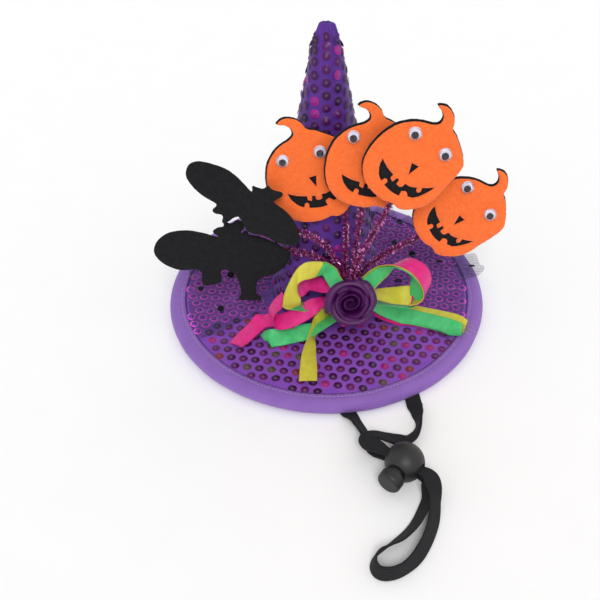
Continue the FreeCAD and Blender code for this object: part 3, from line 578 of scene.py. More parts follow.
strap = {
    "width": 8.0, "thickness": 1.2, "length": 455.0, "lock": (36.7, -125.4), "nearLock": (9, 16),
    "narrowInLock": 0.62, "thickInLock": 1.15, "spacing": 0.6,
    "course": [
        (-33, -6, .6), (-22, -40, .6), (0, -68, .6), (16.4, -98, 1.75), (19.6, -104.6, 2.4),
        (21.4, -110.6, 4.2), (23.4, -117.2, 7.7), (28.7, -120.95, 7.7), (43.7, -131.3, 7.7),
        (47.6, -134.4, 7.7), (47.6, -139.6, 5.15), (44.8, -145.4, 2.75), (42.0, -151.4, 1.75),
        (38, -157.4, 1.75), (32.4, -162.8, 1.75), (26.8, -166.6, 1.75), (21.6, -170.0, 1.75),
        (19.6, -175.4, 1.75), (22.6, -180.2, 1.75), (30.6, -179.4, 1.75), (37.8, -174.0, 1.75),
        (43.2, -166, 1.75), (47.0, -157.6, 1.75), (49.2, -149.4, 4.15), (49.6, -141, 8.15),
        (48, -134.6, 11.3), (43.7, -131.3, 11.3), (28.7, -120.95, 11.3), (23.8, -117.4, 11.3),
        (19.6, -115.4, 11.4), (18.4, -111.2, 10.9), (22.4, -108.4, 9.4), (28.4, -108.6, 7.4),
        (34.4, -108.9, 5.2), (40, -107.4, 3.6), (44.6, -102.4, 2.4), (46.6, -95.6, 1.75),
        (45.6, -88, 1.4), (42.5, -62, .6), (36.5, -32, .6), (33, -4, .6),
    ],
    # how far the flat elastic leans over, by how far along it lies, in millimetres and degrees
    "lean": [(0, 0), (91, 0), (103, 42), (112, 46), (120, 30), (125, 0), (155, 0), (164, -48),
             (188, -50), (202, -74), (222, -78), (236, -60), (262, -52), (272, 0), (303, 0), (309, 32),
             (320, 26),
             (330, 12), (348, 76), (355, 50), (363, 0), (460, 0)],
}


def leanAt(run):
    for (a, first), (b, second) in zip(strap["lean"], strap["lean"][1:]):
        if run <= b:
            return radians(between(first, second, soft(a, b, run)))
    return 0.0


def makeStrap():
    line = []
    for place in courseOf([Vector(p) * mm for p in strap["course"]]):
        if not line or (place - line[-1]).length > strap["spacing"] * mm:
            line.append(place)
    half = strap["width"] / 2
    thick = strap["thickness"] / 2
    outline = [(half * x, thick * y) for x, y in
               ((-1, -0.4), (-0.94, -1), (-0.5, -1), (0, -1), (0.5, -1), (0.94, -1), (1, -0.4),
                (1, 0.4), (0.94, 1), (0.5, 1), (0, 1), (-0.5, 1), (-0.94, 1), (-1, 0.4))]
    points, uvs, runs = [], [], [0.0]
    for i in range(1, len(line)):
        runs.append(runs[-1] + (line[i] - line[i - 1]).length / mm)
    for i, place in enumerate(line):
        ahead = (line[min(i + 1, len(line) - 1)] - line[max(i - 1, 0)]).normalized()
        side = ahead.cross(Vector((0, 0, 1))).normalized()
        near = 1 - soft(*strap["nearLock"], (place.xy / mm - Vector(strap["lock"])).length)
        lean = leanAt(runs[i]) * (1 - near)
        place.z = max(place.z, (half * abs(sin(lean)) + thick * cos(lean)) * mm)
        side = side * cos(lean) + Vector((0, 0, 1)) * sin(lean)
        up = side.cross(ahead).normalized()
        wide = between(1.0, strap["narrowInLock"], near)
        deep = between(1.0, strap["thickInLock"], near)
        for x, y in outline:
            points.append(place / mm + side * x * wide + up * y * deep)
            uvs.append((x / strap["width"] + 0.5, runs[i]))
    mesh = meshFrom("chinStrap", points, tubeFaces(len(line) - 1, len(outline)), uvs)
    mesh.set_sharp_from_angle(angle=radians(60))
    piece = addPiece("chinStrap", mesh, "hat", "elastic", elasticWeave,
                     ("strap_left_run", "strap_right_run", "strap_left_lead", "strap_right_lead",
                      "strap_loop", "strap_in_lock"))
    return piece, line


chinStrap, strapLine = makeStrap()
lockBody = polished("lock_body", "lockBall", "lock_plastic", lockPlastic)
lockButton = polished("lock_button", "lockButton", "lock_plastic", lockPlastic)
lockSpring = polished("lock_spring", "lockSpring", "spring_steel", springSteel)
[v * mm for v in strap["course"][0]]
[tuple(p) for p in strapLine]
for side in ("left", "right"):
    polished("strap_%s_anchor" % side, side + "StrapAnchor", "elastic", elasticWeave, 0.35)
print("chin strap and lock are made")


# brim

# each layer: its under side, its top and how far out it reaches
brim = {"opening": 29.2, "flat": 80.0, "seat": 31.0, "rise": 2.0, "lining": (1.8, 2.6, 88.6),
        "foam": (2.65, 5.05, 88.3), "cloth": (5.1, 6.1, 86.5), "wrinkle": 0.25, "rounding": 0.15}


def brimRise(r):
    return brim["rise"] * min(1.0, max(0.0, (brim["flat"] - r) / (brim["flat"] - brim["seat"])))


def brimLift(x, y):
    # the rim waves upwards only
    r = hypot(x, y)
    a = atan2(y, x)
    return soft(48, 88, r) * (0.75 + 0.45 * sin(2 * a + 0.5) + 0.3 * sin(3 * a + 1.9))


def waved(point):
    return point + Vector((0, 0, brimLift(point.x, point.y)))


def clothHeight(x, y):
    return brim["cloth"][1] + brimRise(hypot(x, y)) + brimLift(x, y)


def layer(name, size, slot, finish, stands, wrinkle=0.0):
    # a flat ring that follows the brim's rise, with its rims rounded
    low, high, outer = size
    inner = brim["opening"]
    steps = [inner + (outer - inner) * i / 26 for i in range(27)]
    top = [(r, high + brimRise(r)) for r in steps]
    under = [(r, low + brimRise(r)) for r in reversed(steps)]
    middle = (low + high) / 2
    rounding = brim["rounding"]
    section = [(inner - rounding, middle + brimRise(inner))] + top + [(outer + rounding, middle)] + under

    def warp(point):
        point = waved(point)
        if wrinkle and point.z > middle:
            point.z += wrinkle * noise.noise(point / 9)
        return point
    points, faces = hoop(section, 220, warp)
    addPiece(name, meshFrom(name, points, faces), "hat", slot, finish, stands)


layer("brimLining", brim["lining"], "lining", liningCloth, ("brim_lining",))
layer("brimFoam", brim["foam"], "foam", foamGrey, ("brim_foam",))
layer("brimCloth", brim["cloth"], "sequin_fabric_bright", brimGround, ("brim_sequin_fabric",),
      brim["wrinkle"])

bindingSection = [
    (81.3, 6.2), (81.15, 6.75), (82.0, 7.0), (82.9, 6.78), (83.6, 7.0), (85.2, 7.1), (87.0, 6.85),
    (88.6, 6.1), (89.7, 4.8), (90.0, 3.3), (89.7, 1.8), (88.7, 0.7), (87, 0.2), (84.6, 0.02),
    (83.2, 0.15), (82.2, 0.0), (81.2, 0.2), (81.3, 0.95), (83, 1.3), (86, 1.5), (88.2, 1.75),
    (89.0, 2.6), (89.0, 4.1), (88.2, 5.3), (86.8, 6.12), (84, 6.2),
]


def puckered(point):
    a = atan2(point.y, point.x)
    r = hypot(point.x, point.y)
    pull = 0.14 * sin(118 * a + 3 * sin(7 * a)) * (1 - soft(82.5, 88.0, r))
    out = 1 + 0.004 * noise.noise(Vector((cos(a) * 5, sin(a) * 5, 2)))
    point = waved(Vector((point.x * out, point.y * out, point.z)))
    point.z += pull if point.z > 4 else 0
    return point


points, faces = hoop(bindingSection, 720, puckered)
addPiece("brimBinding", meshFrom("brimBinding", points, faces), "hat", "binding", bindingSatin,
         ("brim_binding",))

# stitches along the binding, one short rounded thread after another
stitching = Scatter("stitching", [("Length", "NodeSocketFloat"), ("Thickness", "NodeSocketFloat"),
                                  ("Thread", "NodeSocketMaterial")])
stitch = stitching.node("GeometryNodeMeshUVSphere", None,
                        {"Segments": 6, "Rings": 4, "Radius": stitching.given("Thickness")})
stretch = stitching.node("ShaderNodeCombineXYZ", None, {0: stitching.given("Length"), 1: 1.0, 2: 0.8})
row = stitching.node("GeometryNodeInstanceOnPoints", None, {
    "Points": stitching.given("Geometry"), "Instance": stitch,
    "Rotation": stitching.node("FunctionNodeAlignRotationToVector", {"axis": "X"}, {
        "Vector": stitching.node("GeometryNodeInputNamedAttribute", {"data_type": "FLOAT_VECTOR"},
                                 {"Name": "facing"})}),
    "Scale": stretch})
stitching.finishWith(row, stitching.given("Thread"))


def pointCloud(name, spots, facings, **extra):
    mesh = bpy.data.meshes.new(name)
    mesh.from_pydata([tuple(Vector(p) * mm) for p in spots], [], [])
    facing = mesh.attributes.new("facing", "FLOAT_VECTOR", "POINT")
    for i, f in enumerate(facings):
        facing.data[i].vector = f
    for key, values in extra.items():
        attribute = mesh.attributes.new(key, "FLOAT", "POINT")
        for i, v in enumerate(values):
            attribute.data[i].value = v
    return mesh


stitches = {"count": 260, "stretch": 4.2, "radius": 0.17}


def stitchRow(name, radius, height):
    spots, facings = [], []
    for i in range(stitches["count"]):
        a = 2 * pi * i / stitches["count"]
        spots.append(puckered(Vector((radius * cos(a), radius * sin(a), height))))
        facings.append((-sin(a), cos(a), 0))
    mesh = stitching.grow(name, pointCloud(name, spots, facings),
                          {"Length": stitches["stretch"], "Thickness": stitches["radius"] * mm,
                           "Thread": threadLilac})
    addPiece(name, smoothed(mesh), "hat", "binding")


stitchRow("bindingStitches", 82.95, 6.95)
stitchRow("bindingUnderStitches", 83.1, 0.12)
print("brim layers, binding and stitches are made")


# sequins

sequins = {"radius": 2.5, "pitch": 6.5, "rows": 15, "rowTurn": -8.0, "firstRadius": 34.6,
           "lastRadius": 79.6, "lift": 0.12, "tilt": 0.1, "seed": 5}

scatter = Scatter("sequinScatter", [("Cup", "NodeSocketObject"), ("Tilt", "NodeSocketFloat"),
                                    ("Seed", "NodeSocketInt"), ("Film", "NodeSocketMaterial")])
cupShape = scatter.node("GeometryNodeObjectInfo", None, {"Object": scatter.given("Cup")}, "Geometry")
upright = scatter.node("FunctionNodeAlignRotationToVector", {"axis": "Z"}, {
    "Vector": scatter.node("GeometryNodeInputNamedAttribute", {"data_type": "FLOAT_VECTOR"},
                           {"Name": "facing"})})
leaning = scatter.node("FunctionNodeRandomValue", {"data_type": "FLOAT_VECTOR"}, {
    0: scatter.node("ShaderNodeVectorMath", {"operation": "SCALE"}, {0: (-1.0, -1.0, -1.0),
                    "Scale": scatter.given("Tilt")}),
    1: scatter.node("ShaderNodeVectorMath", {"operation": "SCALE"}, {0: (1.0, 1.0, 1.0),
                    "Scale": scatter.given("Tilt")}),
    "Seed": scatter.given("Seed")})
turned = scatter.node("FunctionNodeRotateRotation", {"rotation_space": "LOCAL"}, {
    0: upright, 1: scatter.node("FunctionNodeEulerToRotation", None, {0: leaning})})
scatter.finishWith(scatter.node("GeometryNodeInstanceOnPoints", None, {
    "Points": scatter.given("Geometry"), "Instance": cupShape, "Rotation": turned}),
    scatter.given("Film"))


def cupObject(radius):
    # radius, height, and how far out the ring lies for the colours
    rings = [(0.0, 0.34, 0.0), (0.34, 0.3, 0.14), (0.44, 0.1, 0.2), (radius * 0.86, 0.26, 0.82),
             (radius, 0.1, 1.0)]
    sides = 10
    points, faces, radial = [(0, 0, rings[0][1])], [], [0.0]
    for r, z, share in rings[1:]:
        for i in range(sides):
            points.append((r * cos(2 * pi * i / sides), r * sin(2 * pi * i / sides), z))
            radial.append(share)
    for i in range(sides):
        k = (i + 1) % sides
        faces.append((0, 1 + i, 1 + k))
        for n in range(len(rings) - 2):
            a = 1 + n * sides
            faces.append((a + i, a + sides + i, a + sides + k, a + k))
    mesh = meshFrom("cup", points, faces, None, True, False)
    share = mesh.attributes.new("radial", "FLOAT", "POINT")
    for i, v in enumerate(radial):
        share.data[i].value = v
    cup = bpy.data.objects.new("cup", mesh)
    bpy.context.scene.collection.objects.link(cup)
    return cup


def underNet(x, y):
    # the net leaves the front of the brim bare
    a = (atan2(y, x) / pi * 180 + 360) % 360
    return hypot(x, y) < 80 and (a > 333 or a < 207)


def toneOf():
    pick = chance.random()
    return chance.uniform(0.0, 0.5) if pick < 0.68 else chance.uniform(0.5, 1.0)


def brimSequins():
    spots, facings, tones, veils = [], [], [], []
    turn = radians(sequins["rowTurn"])
    rowPitch = sequins["pitch"] * sqrt(3) / 2
    places = range(-sequins["rows"], sequins["rows"] + 1)
    for i in places:
        for j in places:
            u = (j + 0.5 * (i % 2)) * sequins["pitch"]
            v = i * rowPitch
            x, y = u * cos(turn) - v * sin(turn), u * sin(turn) + v * cos(turn)
            if not sequins["firstRadius"] < hypot(x, y) < sequins["lastRadius"]:
                continue
            slope = Vector((clothHeight(x - 1, y) - clothHeight(x + 1, y),
                            clothHeight(x, y - 1) - clothHeight(x, y + 1), 2)).normalized()
            spots.append((x, y, clothHeight(x, y) + sequins["lift"]))
            facings.append(slope)
            # painted reflection: towards the right front, more sequins take the bright magenta, copper and
            # bronze films, as if light catches them there
            paintedShineRightFront = soft(20, 60, x) * (1 - soft(-40, 0, y))
            tones.append(min(1.0, toneOf() + 0.12 * paintedShineRightFront))
            veils.append(1.0 if underNet(x, y) else 0.0)
    return pointCloud("brimSequins", spots, facings, tone=tones, veil=veils)


cup = cupObject(sequins["radius"])
mesh = scatter.grow("brimSequins", brimSequins(),
                    {"Cup": cup, "Tilt": sequins["tilt"], "Seed": sequins["seed"], "Film": brimSequinFilm})
addPiece("brimSequins", smoothed(mesh), "hat", "sequin_fabric_bright")
print("brim sequins are sewn on")


# crown

crown = {"line": [(31.0, 8.1), (17.6, 101.0), (7.2, 154.0), (4.7, 162.5), (3.1, 167.6)],
         "thickness": 0.9, "segments": 120, "squash": 0.38}
crownLine = crown["line"]


def crownRadius(z):
    for (r1, z1), (r2, z2) in zip(crownLine, crownLine[1:]):
        if z <= z2:
            return between(r1, r2, (z - z1) / (z2 - z1))
    return crownLine[-1][0]


def crownHeightAt(r):
    for (r1, z1), (r2, z2) in zip(crownLine, crownLine[1:]):
        if r >= r2:
            return between(z1, z2, (r1 - r) / (r1 - r2))
    return crownLine[-1][1]


def crownPoint(angle, z, r, outside=1.0):
    dent = 0.15 + 0.55 * noise.noise(Vector((cos(angle) * 2.2, sin(angle) * 2.2, z / 26)))
    seam = abs((angle - pi / 2 + pi) % (2 * pi) - pi) * r
    ridge = 0.7 * max(0.0, 1 - seam / 1.6) - 0.35 * max(0.0, 1 - abs(seam - 2.2) / 1.2)
    loose = soft(148, 166, z)
    fold = loose * (0.55 * sin(5 * angle + z / 5) + 0.3 * sin(9 * angle + 2))
    r += outside * (dent * (1 - loose * 0.5) + ridge * (1 - loose)) + fold * 0.7
    return Vector((r * cos(angle) * (1 + 0.06 * loose),
                   r * sin(angle) * (1 - crown["squash"] * loose), z))


def makeCrown():
    low, high = crownLine[0][1], crownLine[-1][1]
    heights = [low + (high - low) * i / 70 for i in range(71)]
    outline = [(crownRadius(z), z, 1.0) for z in heights]
    outline += [(2.2, 168.3, 0.6), (1.2, 167.2, 0.3), (0.0, 166.6, 0.0), (0.0, 165.9, 0.0)]
    outline += [(max(0.5, crownRadius(z) - crown["thickness"]), min(z, 165.4), 0.0)
                for z in reversed(heights)]
    points = []
    for i in range(crown["segments"]):
        for r, z, outside in outline:
            points.append(crownPoint(2 * pi * i / crown["segments"], z, r, outside) if r > 0
                          else Vector((0, 0, z)))
    mesh = bpy.data.meshes.new("crownCloth")
    work = bmesh.new()
    made = [work.verts.new(p * mm) for p in points]
    for face in hoopFaces(crown["segments"], len(outline)):
        work.faces.new([made[i] for i in face])
    bmesh.ops.remove_doubles(work, verts=work.verts, dist=1e-7)
    bmesh.ops.recalc_face_normals(work, faces=work.faces)
    work.to_mesh(mesh)
    work.free()
    addPiece("crownCloth", smoothed(mesh), "hat", "sequin_fabric_dark", coneGround, ("crown_sequin_fabric",))


coneSequins = {"radius": 2.4, "columns": 16, "steps": 30, "columnPitch": 5.6, "stepPitch": 7.3, "start": 3,
               "seam": 2.6, "widest": 30.4, "narrowest": 4.4, "top": 163, "lift": 0.08, "tilt": 0.14}


def crownSequins():
    # the cone is cut from a flat sector, and its columns run up that sector
    (wide, low), (narrow, high) = crownLine[0], crownLine[2]
    lean = (wide - narrow) / (high - low)
    sine = lean / sqrt(1 + lean * lean)
    spots, facings, tones = [], [], []
    far = wide / sine
    for i in range(-coneSequins["columns"], coneSequins["columns"] + 1):
        for j in range(coneSequins["steps"]):
            u = i * coneSequins["columnPitch"]
            v = (j + 0.5 * (i % 2)) * coneSequins["stepPitch"] + coneSequins["start"]
            reach = far - v
            if reach <= 0 or abs(u) >= reach:
                continue
            span = hypot(u, reach)
            turn = atan2(u, reach) / sine
            r = span * sine
            atSeam = abs(turn) > pi - coneSequins["seam"] / max(r, 1)
            if atSeam or r > coneSequins["widest"] or r < coneSequins["narrowest"]:
                continue
            z = crownHeightAt(r)
            if z > coneSequins["top"]:
                continue
            angle = turn - pi / 2
            spot = crownPoint(angle, z, r)
            outward = (crownPoint(angle + 0.08, z, r) - crownPoint(angle - 0.08, z, r)).cross(
                crownPoint(angle, z + 2, crownRadius(z + 2))
                - crownPoint(angle, z - 2, crownRadius(z - 2)))
            outward.normalize()
            spots.append(spot + outward * coneSequins["lift"])
            facings.append(outward)
            dull = chance.random() < 0.86
            tones.append(chance.uniform(0.0, 0.45) if dull else chance.uniform(0.5, 0.8))
    return pointCloud("crownSequins", spots, facings, tone=tones, veil=[0.0] * len(spots))


makeCrown()
coneCup = cupObject(coneSequins["radius"])
mesh = scatter.grow("crownSequins", crownSequins(),
                    {"Cup": coneCup, "Tilt": coneSequins["tilt"], "Seed": sequins["seed"] + 1,
                     "Film": coneSequinFilm})
addPiece("crownSequins", smoothed(mesh), "hat", "sequin_fabric_dark")
bpy.data.objects.remove(cup)
bpy.data.objects.remove(coneCup)
polished("crown_stiffener", "crownStiffener", "stiffener", buckram)

bandSection = [(29.0, 3.4), (29.05, 9.0), (29.0, 15.2), (28.6, 15.3), (28.25, 15.1), (28.15, 9.2),
               (28.25, 3.6), (28.6, 3.3)]


def gathered(point):
    a = atan2(point.y, point.x)
    pull = 1 - 0.004 * (1 + sin(64 * a)) * (hypot(point.x, point.y) < 28.8)
    return Vector((point.x * pull, point.y * pull, point.z))


points, faces = hoop(bandSection, 384, gathered)
addPiece("headBand", meshFrom("headBand", points, faces), "hat", "head_band", bandCloth, ("head_band",))
print("crown and head band are made")


# tulle ruffle

ruffle = {"start": -32.0, "sweep": 244.0, "inner": 31.7, "outer": 79.0, "pleats": 31, "thickness": 0.12,
          "flat": (52.0, 330.0), "columns": 20, "rows": 500,
          "tabs": [(13, 2, 9, 16, 30), (5, 146, 156, 166, 178)]}
# tabs: how far a corner of the net sticks out, and the turns where it comes and goes
dot = {"radius": 2.1, "seed": 3}
dotSpots = [(-56, 10.2), (-59, -20), (-39.5, -10), (42, 3.9), (52.1, 29.8), (67.4, 20.3), (86, 17.5),
            (41.3, 41.4), (49.8, 67.1), (-72, -4), (-47, 29), (-67, 27), (-30, 40), (-51, 48), (-12, 47),
            (-34, 61), (8, 56), (-13, 68), (27, 50), (28, 70), (7, 76), (66, 42), (58, 8), (-43, 12)]


def tulleHeight(angle, v):
    t = (angle / pi * 180 - ruffle["start"]) / ruffle["sweep"]
    phase = 2 * pi * ruffle["pleats"] * t + 2.6 * noise.noise(Vector((t * 11, 0.5, 0)))
    bunch = soft(10, 40, angle / pi * 180) * (1 - soft(70, 110, angle / pi * 180))
    deep = 0.5 + 1.3 * v ** 0.8 * (0.7 + 0.6 * noise.noise(Vector((t * 17, v * 2, 4)))) + 2.2 * bunch * v
    deep *= 0.12 + 0.88 * soft(0.0, 0.16, t) * (1 - soft(0.9, 1.0, t))
    fine = 0.3 * (1 - v) * sin(phase * 3.1 + 1)
    return 0.75 + 2.4 * (1 - v) ** 5 + deep * (1 + sin(phase)) + fine + 0.3


def tullePoint(angle, v):
    turn = angle / pi * 180
    out = ruffle["outer"] + 3.5 * noise.noise(Vector((turn / 17, 1, 0)))
    out += sum(size * soft(a, b, turn) * (1 - soft(c, d, turn)) for size, a, b, c, d in ruffle["tabs"])
    r = between(ruffle["inner"], out, v)
    sway = 0.012 * sin(9 * v + 7 * angle)
    x, y = r * cos(angle + sway), r * sin(angle + sway)
    ground = clothHeight(x, y) if r < 88 else clothHeight(x * 88 / r, y * 88 / r)
    return Vector((x, y, ground + tulleHeight(angle, v) + 0.9 * soft(78, 84, r)))


def makeTulle():
    front, back = [], []
    for i in range(ruffle["rows"] + 1):
        angle = radians(ruffle["start"] + ruffle["sweep"] * i / ruffle["rows"])
        row = [tullePoint(angle, j / ruffle["columns"]) for j in range(ruffle["columns"] + 1)]
        front.append([p + Vector((0, 0, ruffle["thickness"])) for p in row])
        back.append(row)
    points, faces, uvs = slab(front, back)
    piece = addPiece("tulleRuffle", meshFrom("tulleRuffle", points, faces), "hat", "tulle", tulleNet,
                     ("tulle_ruffle",))
    dots = []
    for x, y in dotSpots:
        angle = atan2(y, x)
        if angle < radians(-90):
            angle += 2 * pi
        low, high = 0.0, 1.0
        for _ in range(30):
            v = (low + high) / 2
            p = tullePoint(angle, v)
            low, high = (v, high) if hypot(p.x, p.y) < hypot(x, y) else (low, v)
        p = tullePoint(angle, v)
        a, b = tullePoint(angle + 0.02, v), tullePoint(angle, max(0.0, v - 0.02))
        up = (a - p).cross(b - p).normalized()
        dots.append((p + Vector((0, 0, ruffle["thickness"])), up if up.z > 0 else -up))
    return piece, dots


tulle, dots = makeTulle()
dotting = Scatter("flockDots", [("Radius", "NodeSocketFloat"), ("Seed", "NodeSocketInt"),
                                ("Flock", "NodeSocketMaterial")])
dotBall = dotting.node("GeometryNodeMeshUVSphere", None,
                       {"Segments": 14, "Rings": 6, "Radius": dotting.given("Radius")})
dotLean = dotting.node("FunctionNodeAlignRotationToVector", {"axis": "Z"}, {
    "Vector": dotting.node("GeometryNodeInputNamedAttribute", {"data_type": "FLOAT_VECTOR"},
                           {"Name": "facing"})})
dotSize = dotting.node("FunctionNodeRandomValue", {"data_type": "FLOAT_VECTOR"},
                       {0: (0.85, 0.85, 0.14), 1: (1.15, 1.15, 0.2), "Seed": dotting.given("Seed")})
dotting.finishWith(dotting.node("GeometryNodeInstanceOnPoints", None, {
    "Points": dotting.given("Geometry"), "Instance": dotBall, "Rotation": dotLean, "Scale": dotSize}),
    dotting.given("Flock"))
mesh = dotting.grow("flockedDots", pointCloud("flockedDots", [d[0] for d in dots], [d[1] for d in dots]),
                    {"Radius": dot["radius"] * mm, "Seed": dot["seed"], "Flock": flocking})
flockedDots = addPiece("flockedDots", smoothed(mesh), "hat", "tulle")
[v * mm for v in ruffle["flat"]]
print("tulle ruffle is made")


# tinsel stems

fan = {"root": (10.0, -28.5, 38.0), "lean": 82.0, "layer": 7.8, "bundle": 3.4}
fanPlace = Matrix.Translation(fan["root"]) @ Matrix.Rotation(radians(fan["lean"]), 4, "X")
tinsel = {"spacing": 0.42, "strips": 9, "stripLength": 2.5, "stripWidth": 0.44, "core": 0.7, "seed": 11}
# CAD node, the body that it rides on, layer, where it starts, and its route: across, up, share of the layer
stems = [
    ("pumpkin_stem_1", "pumpkin_charm_1", 0, -0.4, [(0, 20, 1), (0.3, 41, 1), (-5, 58, 1)]),
    ("pumpkin_stem_2", "pumpkin_charm_2", 1, 4.0, [(4.6, 12, .4), (5.5, 31, 1), (7.6, 47, 1), (7, 66, 1)]),
    ("pumpkin_stem_3", "pumpkin_charm_3", 2, 2.8,
     [(4.2, 13, .35), (10.4, 32, .8), (19.4, 50, 1), (26, 68, 1)]),
    ("pumpkin_stem_4", "pumpkin_charm_4", 0, 4.6,
     [(8.4, 6, 0), (18.6, 15.4, 0), (33, 24.5, 0), (48, 32.5, 0)]),
    ("bat_stem_upper", "bat_upper_charm", 1, -0.2,
     [(-2.4, 9, .35), (-7.4, 22, .85), (-14, 29.6, 1), (-24, 34.8, 1), (-38, 40.5, 1)]),
    ("bat_stem_lower", "bat_lower_charm", 0, -4.6,
     [(-6.2, 5, 0), (-10.6, 12.6, 0), (-19, 16.6, 0), (-30, 19.2, 0), (-47, 19.8, 0)]),
]

twist = Scatter("tinselTwist", [("Spacing", "NodeSocketFloat"), ("Strips", "NodeSocketInt"),
                                ("Strip", "NodeSocketObject"), ("Core", "NodeSocketFloat"),
                                ("Seed", "NodeSocketInt"), ("Foil", "NodeSocketMaterial")])
wire = twist.node("GeometryNodeMeshToCurve", None, {"Mesh": twist.given("Geometry")})
beads = twist.node("GeometryNodeCurveToPoints", {"mode": "LENGTH"},
                   {"Curve": wire, "Length": twist.given("Spacing")})
many = twist.node("GeometryNodeDuplicateElements", {"domain": "POINT"},
                  {"Geometry": beads, "Amount": twist.given("Strips")})
spin = twist.node("FunctionNodeRandomValue", {"data_type": "FLOAT_VECTOR"},
                  {0: (0.0, 0.0, 0.0), 1: (6.28, 6.28, 6.28), "Seed": twist.given("Seed")})
reach = twist.node("FunctionNodeRandomValue", {"data_type": "FLOAT_VECTOR"},
                   {0: (0.6, 0.7, 0.7), 1: (1.08, 1.3, 1.3), "Seed": twist.given("Seed")})
strips = twist.node("GeometryNodeInstanceOnPoints", None, {
    "Points": many, "Instance": twist.node("GeometryNodeObjectInfo", None,
                                           {"Object": twist.given("Strip")}, "Geometry"),
    "Rotation": twist.node("FunctionNodeEulerToRotation", None, {0: spin}), "Scale": reach})
toned = twist.node("GeometryNodeStoreNamedAttribute", {"data_type": "FLOAT", "domain": "INSTANCE"}, {
    "Geometry": strips, "Name": "tone",
    "Value": twist.node("FunctionNodeRandomValue", {"data_type": "FLOAT"},
                        {2: 0.0, 3: 1.0, "Seed": twist.given("Seed")}, 1)})
core = twist.node("GeometryNodeCurveToMesh", None, {
    "Curve": wire, "Profile Curve": twist.node("GeometryNodeCurvePrimitiveCircle", None,
                                               {"Resolution": 8, "Radius": twist.given("Core")}),
    "Fill Caps": True})
both = twist.tree.nodes.new("GeometryNodeJoinGeometry")
twist.tree.links.new(toned, both.inputs[0])
twist.tree.links.new(core, both.inputs[0])
twist.finishWith(both.outputs[0], twist.given("Foil"))


def makeStems():
    long, wide = tinsel["stripLength"], tinsel["stripWidth"] / 2
    strip = bpy.data.objects.new("foilStrip", meshFrom(
        "foilStrip", [(0, -wide, 0), (0, wide, 0), (long, wide * 0.6, 0.1), (long, -wide * 0.6, -0.1),
                      (long / 2, 0, 0.12)],
        [(0, 4, 1), (1, 4, 2), (2, 4, 3), (3, 4, 0), (0, 1, 2, 3)], None, False))
    bpy.context.scene.collection.objects.link(strip)
    for number, (node, body, layerNumber, root, route) in enumerate(stems):
        near, far = layerNumber * fan["bundle"], layerNumber * fan["layer"]
        course = [(root, -4, near), (root, 1, near)]
        course += [(x, up, between(near, far, share)) for x, up, share in route]
        line = courseOf([fanPlace @ Vector(p) * mm for p in course])
        path = bpy.data.meshes.new(node)
        path.from_pydata([tuple(p) for p in line], [(i, i + 1) for i in range(len(line) - 1)], [])
        mesh = twist.grow(node + "Tinsel", path, {
            "Spacing": tinsel["spacing"] * mm, "Strips": tinsel["strips"], "Strip": strip,
            "Core": tinsel["core"] * mm, "Seed": tinsel["seed"] + number, "Foil": tinselFoil})
        addPiece(node + "Tinsel", mesh, body, "tinsel", None, (node,))
    bpy.data.objects.remove(strip)


makeStems()
polished("stem_holder", "stemHolder", "holder", blackFelt, 0.8)
print("tinsel stems are made")


# felt charms

